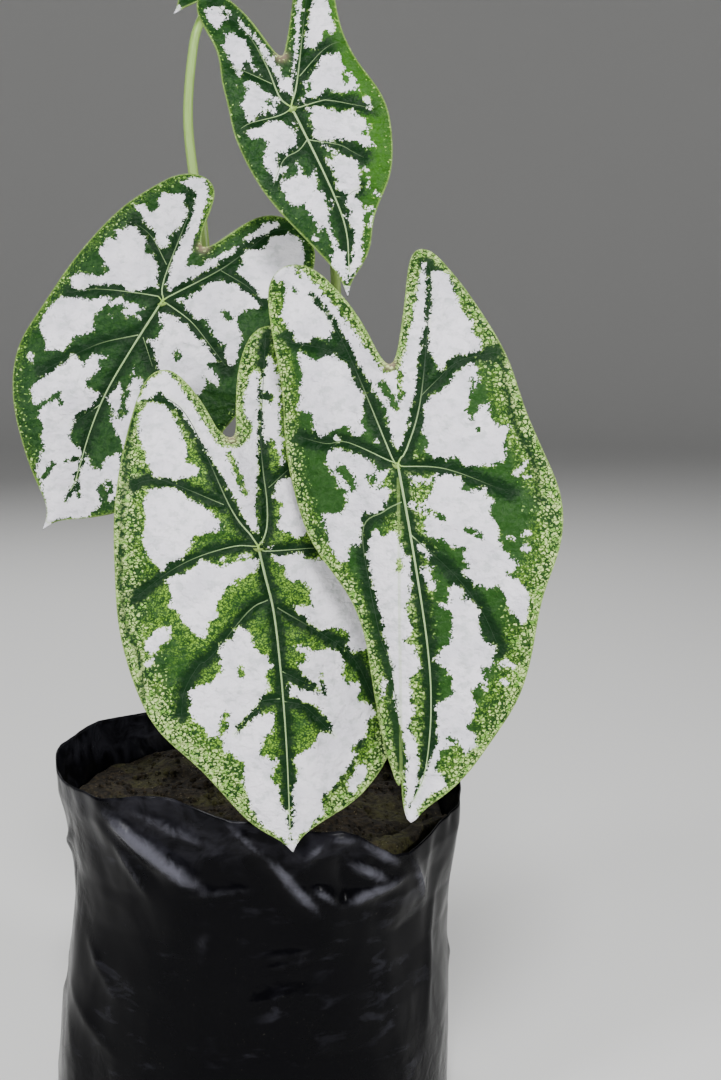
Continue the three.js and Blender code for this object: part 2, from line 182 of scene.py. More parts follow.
def about_zero(finish, share, span):
    """Turns a share of 0 to 1 into a value that swings by a span about zero."""
    return sums(finish, "MULTIPLY_ADD", share, span, -span / 2)


def attribute(finish, name, output="Fac"):
    return wire(finish, "ShaderNodeAttribute", {}, attribute_name=name).outputs[output]


def parts_of(finish, vector):
    """The three parts of a vector."""
    split = wire(finish, "ShaderNodeSeparateXYZ", {"Vector": vector}).outputs
    return split["X"], split["Y"], split["Z"]


def stretched(finish, place, stretch):
    return wire(finish, "ShaderNodeVectorMath", {0: place, 1: stretch}, operation="MULTIPLY").outputs[0]


def rise(finish, value, low, high, bottom=0.0, top=1.0):
    """Smooth rise from bottom to top as the value goes from low to high."""
    inputs = {"Value": value, "From Min": low, "From Max": high, "To Min": bottom, "To Max": top}
    return wire(finish, "ShaderNodeMapRange", inputs, interpolation_type="SMOOTHSTEP").outputs["Result"]


def tint(finish, share, first, second):
    """Colour from first to second by a share."""
    return wire(finish, "ShaderNodeMix", {0: share, 6: first, 7: second}, data_type="RGBA").outputs[2]


def shade(red, green, blue):
    """Linear colour of a 0 to 255 screen colour."""
    def linear(level):
        level /= 255
        return level / 12.92 if level <= 0.04045 else ((level + 0.055) / 1.055) ** 2.4

    return (linear(red), linear(green), linear(blue), 1)


def connect(finish, socket, value):
    finish.node_tree.links.new(value, finish.node_tree.nodes["Principled BSDF"].inputs[socket])


def press(finish, height, distance, strength=1.0, base=None):
    """Bump of a height over a distance in metres, over another bump if there is one."""
    inputs = {"Height": height, "Distance": distance, "Strength": strength}
    if base is not None:
        inputs["Normal"] = base
    return wire(finish, "ShaderNodeBump", inputs).outputs["Normal"]


def film_finish():
    film = new_finish("black_film", Roughness=0.2, IOR=1.14)
    place = place_on(film)
    dust = rise(film, grain(film, place, 900, 3), 0.68, 0.78)
    cloud = grain(film, place, 22, 3)
    dusty = times(film, dust, rise(film, cloud, 0.4, 0.7))
    base = tint(film, cloud, shade(3, 3, 5), shade(7, 7, 9))
    base = tint(film, dusty, base, shade(44, 42, 38))
    sheen = attribute(film, "sheen")
    height = parts_of(film, place)[2]
    # Painted sheen: cloudy patches of paler grey film near the rim, standing for light caught where the film
    # leans out under it.
    near_rim = times(film, rise(film, height, 0.09, 0.14), grain(film, place, 75, 4, 0.6, 1.0))
    base = tint(film, rise(film, near_rim, 0.35, 0.75), base, shade(34, 34, 39))
    # Painted sheen: thin pale-grey lines in cloudy patches, standing for light caught on the crests of fine
    # wrinkles.
    lying = stretched(film, place, (1, 1, 2.6))
    painted_wrinkle_sheen = rise(film, grain(film, lying, 62, 4, 0.6, 0.4), 0.54, 0.72, 0, 0.6)
    painted_wrinkle_sheen = times(film, painted_wrinkle_sheen, rise(film, grain(film, place, 30, 2), 0.42, 0.6))
    base = tint(film, painted_wrinkle_sheen, base, shade(38, 38, 44))
    # Painted highlight: the film turns pale grey in broken streaks along the crests, standing for light
    # glancing off them and partly for stress-whitened film.
    streaks = about_zero(film, grain(film, place, 130, 4, 0.55, 1.2), 1.3)
    crest_highlight = rise(film, sums(film, "ADD", sheen, streaks), 0.0, 1.15)
    crest_highlight = times(film, crest_highlight, rise(film, sheen, 0.02, 0.5))
    connect(film, "Base Color", tint(film, crest_highlight, base, shade(80, 80, 88)))
    connect(film, "Roughness", rise(film, grain(film, place, 60, 4), 0.3, 0.7, 0.14, 0.28))
    waves = press(film, grain(film, place, 34, 2, 0.45, 0.5), 0.0035, 0.35)
    wrinkles = times(film, grain(film, place, 210, 3, 0.5, 0.6), rise(film, cloud, 0.45, 0.65))
    connect(film, "Normal", press(film, wrinkles, 0.0006, 0.5, waves))
    return film


bag_solid = copy_of("nursery_bag")
bag_tree = BVHTree.FromBMesh(bag_solid)
rim_points = {}
for vert in bag_solid.verts:
    spoke = round(math.degrees(math.atan2(vert.co.y, vert.co.x)) * RIM_SPOKES / 360) % RIM_SPOKES
    rim_points[spoke] = max(rim_points.get(spoke, 0), vert.co.z)
rim_angles = [spoke * 360 / RIM_SPOKES for spoke in sorted(rim_points)]
rim_heights = [rim_points[spoke] for spoke in sorted(rim_points)]


def rim_height(degrees):
    return np.interp(degrees, rim_angles, rim_heights, period=360)


def wall_radius(degrees, height):
    """Radius of the solid's outer wall at an angle and a height."""
    out = Vector((math.cos(math.radians(degrees)), math.sin(math.radians(degrees)), 0))
    hit = bag_tree.ray_cast(out * 2 * BAG_RADIUS + Vector((0, 0, height)), -out)[0]
    return hit.xy.length if hit else BAG_RADIUS


spoke_degrees = np.arange(BAG_SEGMENTS) * 360 / BAG_SEGMENTS
row_shares = (np.arange(BAG_ROWS) + 1) / BAG_ROWS
rims = rim_height(spoke_degrees)
heights = row_shares[:, None] * rims
radii = np.array([
    [wall_radius(degrees, min(z, rim - 0.6)) for degrees, rim, z in zip(spoke_degrees, rims, row)]
    for row in heights
])
for _ in range(FACET_PASSES):
    radii = (np.roll(radii, 1, 1) + np.roll(radii, -1, 1) + 2 * radii) / 4
sheen = np.zeros(heights.shape)
for (from_degrees, from_z), (to_degrees, to_z), width, crest in CREASES:
    turned = (spoke_degrees - from_degrees + 180) % 360 - 180
    arc = np.broadcast_to(turned * math.radians(BAG_RADIUS), heights.shape)
    wall = np.column_stack([arc.ravel(), heights.ravel()])
    end = (math.radians(to_degrees - from_degrees) * BAG_RADIUS, to_z)
    away, share = segment_distance(wall, (0, from_z), end)
    fade = np.sin(math.pi * np.clip(share, 0.04, 0.96)) ** 0.6
    radii += (crest * fade * np.exp(-((away / width) ** 1.3))).reshape(radii.shape)
    # Painted highlight along each crest, partly also stress-whitened film: strongest on the highest crests,
    # faded out low on the bag.
    glow = crest / SHEEN_CREST * fade * np.exp(-((away / width * 1.15) ** 2))
    glow *= np.clip((wall[:, 1] - SHEEN_FROM) / SHEEN_OVER, 0, 1)
    sheen = np.maximum(sheen, glow.reshape(radii.shape))


def crumple(degrees, height, rim):
    """Small folds of the film, sharper and deeper where no soil backs it."""
    turn = math.radians(degrees)
    at = Vector((math.cos(turn), math.sin(turn), 0))
    near_rim = 0.35 + 0.65 * max(0, min(1, (height / rim - SLACK_FROM) / SLACK_OVER))
    upright = 1 - 2 * abs(noise.noise(at * 4.5 + Vector((0, 0, height / 75))))
    slanted = 1 - 2 * abs(noise.noise(at * 3.1 + Vector((7, 3, height / 26 + 2.5 * turn / math.pi))))
    small = noise.noise(at * 9 + Vector((0, 5, height / 14)))
    return near_rim * (0.75 * upright + 0.75 * slanted + 0.4 * small - 0.8)


radii += np.array([
    [crumple(degrees, z, rim) for degrees, rim, z in zip(spoke_degrees, rims, row)] for row in heights
])

bag = bmesh.new()
profile = [bag.verts.new((share, 0, 0)) for share in BAG_FLOOR_SHARES]
profile += [bag.verts.new((1, 0, share)) for share in row_shares]
edges = [bag.edges.new(pair) for pair in zip(profile, profile[1:])]
bmesh.ops.spin(
    bag, geom=profile + edges, cent=(0, 0, 0), axis=(0, 0, 1), angle=2 * math.pi,
    steps=BAG_SEGMENTS, use_merge=True,
)
bmesh.ops.remove_doubles(bag, verts=bag.verts, dist=1e-5)
bmesh.ops.recalc_face_normals(bag, faces=bag.faces)
shine = bag.verts.layers.float.new("sheen")
for vert in bag.verts:
    spoke = round(math.degrees(math.atan2(vert.co.y, vert.co.x)) * BAG_SEGMENTS / 360) % BAG_SEGMENTS
    row = round(vert.co.z * BAG_ROWS) - 1
    out = radii[max(row, 0), spoke] * vert.co.xy.length
    turn = math.radians(spoke_degrees[spoke])
    z = heights[row, spoke] if row >= 0 else 0
    vert[shine] = sheen[max(row, 0), spoke]
    vert.co = Vector((out * math.cos(turn), out * math.sin(turn), z)) * MM
if sum(face.normal.z * face.calc_area() for face in bag.faces) > 0:
    bmesh.ops.reverse_faces(bag, faces=bag.faces)
nursery_bag = as_piece("bag_film", bag, [film_finish()], "nursery_bag")
wall = nursery_bag.modifiers.new("film", "SOLIDIFY")
wall.thickness = FILM * MM
wall.offset = -1


# Potting soil
# Dark, damp mix of peat, bark and grit, filled by hand to just below the rim and left lumpy,
# with a mossy mound at the back left. Crumbs lie loose on it, and the stalks come up through it.
SOIL_ROUND = 260
SOIL_RINGS = 84
SOIL_WALL_ROWS = 16
SOIL_GAP = 0.9  # to the film
SOIL_FLOOR = 1.6
CROWN = Vector((0, 5))
CROWN_LEVEL = 124
CROWN_CALM = 16  # radius round the crown within which the lumps fade
HOLE_BELOW = 112  # a top lower than this is the bottom of a stalk's hole
CAST_FROM = 200  # height from which the soil's top is looked for
CRUMBS = 900
CRUMB_SIZES = (0.5, 1.9)
CRUMB_REACH = 66


def soil_finish():
    soil = new_finish("potting_soil", Roughness=0.95, Specular_IOR_Level=0.25)
    place = place_on(soil)
    coarse = grain(soil, place, 60, 4, 0.6)
    fine = grain(soil, place, 520, 4, 0.65)
    base = tint(soil, rise(soil, fine, 0.35, 0.7), shade(17, 14, 10), shade(50, 42, 29))
    mossy = times(soil, rise(soil, coarse, 0.46, 0.62), rise(soil, fine, 0.3, 0.6))
    base = tint(soil, mossy, base, shade(58, 57, 30))
    specks = rise(soil, grain(soil, place, 1300, 1), 0.7, 0.78)
    connect(soil, "Base Color", tint(soil, specks, base, shade(118, 108, 86)))
    connect(soil, "Normal", press(soil, fine, 0.0012, 0.8, press(soil, coarse, 0.002, 0.4)))
    return soil


soil_solid = copy_of("soil")
soil_tree = BVHTree.FromBMesh(soil_solid)
soil_rims = SOIL_SHARE * rims
soil_row = round(SOIL_SHARE * BAG_ROWS) - 1


def soil_height(x, y):
    """Height of the solid's top, with the holes that the stalks stand in bridged."""
    hit = soil_tree.ray_cast(Vector((x, y, CAST_FROM)), Vector((0, 0, -1)))[0]
    return CROWN_LEVEL if hit is None or hit.z < HOLE_BELOW else hit.z


def lumps(x, y):
    """Clods and crumbs of the soil's top."""
    at = Vector((x, y, 0))
    clods = noise.noise(at / 11) + 0.5 * noise.noise(at / 5.2 + Vector((9, 1, 4)))
    grit = 1 - 2 * abs(noise.noise(at / 2.4 + Vector((2, 8, 1))))
    return 1.7 * clods + 0.5 * grit + 0.25 * noise.noise(at / 0.9)


soil = bmesh.new()
profile = [soil.verts.new((share / SOIL_RINGS, 0, 1)) for share in range(SOIL_RINGS + 1)]
profile += [soil.verts.new((1, 0, 1 - share / SOIL_WALL_ROWS)) for share in range(1, SOIL_WALL_ROWS)]
profile += [soil.verts.new((share, 0, 0)) for share in (1, 0.6, 0.3, 0)]
edges = [soil.edges.new(pair) for pair in zip(profile, profile[1:])]
bmesh.ops.spin(
    soil, geom=profile + edges, cent=(0, 0, 0), axis=(0, 0, 1), angle=2 * math.pi,
    steps=SOIL_ROUND, use_merge=True,
)
bmesh.ops.remove_doubles(soil, verts=soil.verts, dist=1e-5)
soil_top = []
for vert in soil.verts:
    share, level = vert.co.xy.length, vert.co.z
    degrees = math.degrees(math.atan2(vert.co.y, vert.co.x)) % 360
    reach = np.interp(degrees, spoke_degrees, radii[soil_row], period=360) - FILM - SOIL_GAP
    if level > 0.99 and share < 0.999:
        out = reach * share
        x = out * math.cos(math.radians(degrees)) + CROWN.x * (1 - share)
        y = out * math.sin(math.radians(degrees)) + CROWN.y * (1 - share)
        vert.co = (x, y, soil_height(x, y))
        soil_top.append(vert)
        continue
    z = max(level * np.interp(degrees, spoke_degrees, soil_rims, period=360), SOIL_FLOOR)
    row = min(max(z / np.interp(degrees, spoke_degrees, rims, period=360) * BAG_ROWS - 1, 0), BAG_ROWS - 1)
    low = np.interp(degrees, spoke_degrees, radii[int(row)], period=360)
    out = (min(low, reach + 3) - FILM - SOIL_GAP) * share
    vert.co = (out * math.cos(math.radians(degrees)), out * math.sin(math.radians(degrees)), z)
bmesh.ops.smooth_vert(soil, verts=soil_top, factor=0.5, use_axis_z=True)
for vert in soil_top:
    calm = min(1, (vert.co.xy - CROWN).length / CROWN_CALM)
    vert.co.z += calm * lumps(vert.co.x, vert.co.y)
bmesh.ops.recalc_face_normals(soil, faces=soil.faces)
top_tree = BVHTree.FromBMesh(soil)
random.seed(5)
for _ in range(CRUMBS):
    away = CRUMB_REACH * math.sqrt(random.random())
    turn = random.uniform(0, 2 * math.pi)
    at = Vector((away * math.cos(turn), away * math.sin(turn), CAST_FROM))
    seat = top_tree.ray_cast(at, Vector((0, 0, -1)))[0]
    size = CRUMB_SIZES[0] + (CRUMB_SIZES[1] - CRUMB_SIZES[0]) * random.random() ** 3
    turned = Matrix.Rotation(random.uniform(0, 6), 4, Vector((random.random(), random.random(), 1)))
    stretch = Matrix.Diagonal((size * random.uniform(0.7, 1.5), size, size * random.uniform(0.5, 0.9), 1))
    seated = Matrix.Translation(seat + Vector((0, 0, 0.2 * size)))
    bmesh.ops.create_icosphere(soil, subdivisions=1, radius=1, matrix=seated @ turned @ stretch)
bmesh.ops.scale(soil, verts=soil.verts, vec=Vector((1, 1, 1)) * MM)
as_piece("potting_soil", soil, [soil_finish()], "soil")


# Tuber
# The corky root stock that all stalks grow from. It lies buried in the soil, so it keeps the
# solid's shape and gets only its brown, ringed skin.
def tuber_finish():
    tuber = new_finish("tuber_skin", Roughness=0.85)
    place = place_on(tuber)
    bands = {"Vector": place, "Scale": 90, "Distortion": 4}
    rings = wire(tuber, "ShaderNodeTexWave", bands, bands_direction="Z").outputs["Fac"]
    patches = times(tuber, rings, grain(tuber, place, 260, 3))
    connect(tuber, "Base Color", tint(tuber, patches, shade(66, 44, 28), shade(132, 98, 66)))
    connect(tuber, "Normal", press(tuber, patches, 0.0008, 0.7))
    return tuber


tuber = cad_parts["tuber"]
tuber.data.materials.clear()
tuber.data.materials.append(tuber_finish())


# Leaf stalks
# Round, fleshy petioles that taper from a sheathed foot in the soil to the back of the blade.
# They are pale yellow-green, flushed brown-pink low down, with fine darker streaks along them.
STALK_SIDES = 20
STALK_STEP = 2.5
STALK_RADII = (2.9, 1.55)  # at the foot and under the blade
STALK_FOOT = 118
STALK_ROOT = 14  # further down to the tuber
CROWN_RADIUS = 7.5
COLLAR = 127  # height of the sheath's thickest ring
SHEATH, SHEATH_REACH = 0.9, 14  # how much thicker, and over which height
SWELL, SWELL_PEAK = 0.5, 30  # how much thicker under the blade, and how suddenly
BLADE_SOLID = 0.9  # thickness of the solid's blade
STALKS = {
    1: {"crown": 54, "route": [(8, 10, 150), (19, 9, 220), (28, 7, 285), (30, 0, 330), (24, -12, 364)]},
    2: {"crown": 198, "route": [(-11, 6, 160), (-20, 10, 220), (-28, 8, 275), (-32, -1, 303)]},
    3: {"crown": 270, "route": [(0, -7, 147), (1.5, -22, 182), (3, -42, 213)]},
    4: {"crown": -18, "route": [(10, 0, 140), (26, -14, 195), (43, -40, 235)]},
    5: {"crown": 126, "route": [
        (-9, 15, 170), (-16, 20, 250), (-21.5, 25, 341), (-25.5, 27, 368), (-27.3, 29, 389),
        (-25.6, 31, 411), (-22.5, 34, 425), (-13, 45, 445), (-6, 51, 457),
    ]},
}
# Where each blade's joint is, and how the blade leans back, rolls in its plane and turns
PLACES = {
    1: {"joint": (15.3, -30, 385.9), "lean": 17, "roll": 16.7, "turn": 0},
    2: {"joint": (-33.2, -15, 318.7), "lean": 14, "roll": -26.9, "turn": 0},
    3: {"joint": (4.1, -60, 235.4), "lean": 18, "roll": 6.6, "turn": 3},
    4: {"joint": (52, -75, 265.9), "lean": 16, "roll": 0.5, "turn": 0},
    5: {"joint": (-1, 50, 468.5), "lean": 40, "roll": -30, "turn": 0},
}


def blade_place(leaf):
    """From the blade's own millimetres, x right, y to its lobes, z out of its face, to metres."""
    place = PLACES[leaf]
    turn = Matrix.Rotation(math.radians(place["turn"]), 4, "Z")
    lean = Matrix.Rotation(math.radians(90 - place["lean"]), 4, "X")
    roll = Matrix.Rotation(math.radians(place["roll"]), 4, "Z")
    return Matrix.Translation(Vector(place["joint"]) * MM) @ turn @ lean @ roll @ Matrix.Scale(MM, 4)


def smooth_line(points, step):
    """Points about a step apart on a Catmull-Rom curve through the given ones."""
    points = [np.asarray(point, float) for point in points]
    padded = [2 * points[0] - points[1]] + points + [2 * points[-1] - points[-2]]
    line = []
    for before, start, end, after in zip(padded, padded[1:], padded[2:], padded[3:]):
        count = max(1, round(np.linalg.norm(end - start) / step))
        for t in np.arange(count) / count:
            bend = (2 * before - 5 * start + 4 * end - after) * t * t
            sway = (3 * start - before - 3 * end + after) * t ** 3
            line.append((2 * start + (end - before) * t + bend + sway) / 2)
    return np.array(line + [points[-1]])


def drawn_rods(name, lines, roundness):
    """Mesh of round rods along lines of points, each with its own radii, in metres."""
    curve = bpy.data.curves.new(name, "CURVE")
    curve.dimensions = "3D"
    curve.bevel_depth = 1
    curve.bevel_resolution = roundness
    curve.use_fill_caps = True
    for points, radii_along in lines:
        spline = curve.splines.new("POLY")
        spline.points.add(len(points) - 1)
        for point, at, radius in zip(spline.points, points, radii_along):
            point.co = (*at, 1)
            point.radius = radius
    rod = bpy.data.objects.new(name, curve)
    bpy.context.scene.collection.objects.link(rod)
    bpy.context.view_layer.update()
    mesh = bpy.data.meshes.new_from_object(rod.evaluated_get(bpy.context.evaluated_depsgraph_get()))
    bpy.data.objects.remove(rod)
    bpy.data.curves.remove(curve)
    return mesh


def stalk_finish():
    stalk = new_finish("leaf_stalk", Roughness=0.42, Specular_IOR_Level=0.45)
    place = place_on(stalk)
    height = parts_of(stalk, place)[2]
    streaks = grain(stalk, stretched(stalk, place, (1, 1, 0.08)), 1500, 3)
    base = tint(stalk, rise(stalk, height, 0.12, 0.24), shade(132, 116, 76), shade(128, 152, 78))
    base = tint(stalk, rise(stalk, height, 0.26, 0.46), base, shade(132, 168, 80))
    marks = rise(stalk, streaks, 0.5, 0.72, 0, 0.45)
    connect(stalk, "Base Color", tint(stalk, marks, base, shade(120, 140, 70)))
    connect(stalk, "Normal", press(stalk, streaks, 0.0003, 0.5))
    return stalk


stalk_skin = stalk_finish()
for leaf, stalk in STALKS.items():
    turn = math.radians(stalk["crown"])
    foot = (CROWN.x + CROWN_RADIUS * math.cos(turn), CROWN.y + CROWN_RADIUS * math.sin(turn))
    seat = blade_place(leaf) @ Vector((0, 0, -BLADE_SOLID))
    root = [(*foot, STALK_FOOT - STALK_ROOT), (*foot, STALK_FOOT), (*foot, COLLAR)]
    route = [*root, *stalk["route"], seat / MM]
    line = smooth_line(route, STALK_STEP)
    share = np.linspace(0, 1, len(line))
    thick = STALK_RADII[0] + (STALK_RADII[1] - STALK_RADII[0]) * share
    sheath = SHEATH * np.exp(-(((line[:, 2] - COLLAR) / SHEATH_REACH) ** 2))
    swell = SWELL * np.exp(-((1 - share) * SWELL_PEAK) ** 2)
    rod = drawn_rods(f"leaf_{leaf}_petiole", [(line * MM, (thick + sheath + swell) * MM)], 8)
    as_piece(f"leaf_{leaf}_petiole", rod, [stalk_skin], f"leaf_{leaf}_stalk")


# Leaf blades
# Thin, arrow-shaped blades with a raised midrib, basal veins into both lobes and side veins, all
# in bands of green that leave white fields between them. The surface puffs up between the veins,
# and the veins lie sunk in it.
BLADE_CELL = 0.8
BLADE_THICK = 0.45
VEIN_GROOVE, GROOVE_REACH = 0.45, 1.3  # how deep a vein lies sunk, and how far to its sides
BLADE_PUCKER, PUCKER_REACH = 1.1, 6  # how high the face puffs up away from the veins, and how far
CALM_MARGIN = 8  # from the margin, where both fade
VEIN_RADII = {"midrib": (0.5, 0.18), "basal": (0.33, 0.11), "lateral": (0.23, 0.09), "fine": (0.18, 0.08)}
RIB_SHARE = 1.9  # of the veins under the blade, against those on it
CAST_HEIGHT = 60  # above a blade's plane, from which its surface is looked for
PHOTO_SIZE = (721, 1080)  # pixels
CAMERA_AT = (0.0395, -0.571, 0.323)
CAMERA_PITCH = 9.5  # degrees down
CAMERA_LENS = 50
CAMERA_SENSOR = 36
SIGHT_PASSES = 12  # that settle where a line of sight meets a bent face
# The bend of each blade's face, as its solid has it: the slopes of its left and right half beside
# the midrib, the midrib's bow to the right, and how far tip and lobes hang back at their reach. The
# stalk's joint is given by its pixel in the photograph.
FOLD_ROUND = 8
BENDS = {
    1: {"joint": (291, 106), "folds": (0.1, 0.05), "bow": 6, "hang": (-7, -8), "reach": (67.3, 56)},
    2: {"joint": (162, 301), "folds": (-0.12, 0.08), "bow": -3, "hang": (-9, -7), "reach": (91.8, 50.7)},
    3: {"joint": (258, 546), "folds": (-0.07, -0.08), "bow": 3, "hang": (-9, -9), "reach": (102.7, 81.9)},
    4: {"joint": (398, 463), "folds": (-0.34, -0.03), "bow": 10, "hang": (-10, -9), "reach": (119.3, 77.8)},
}
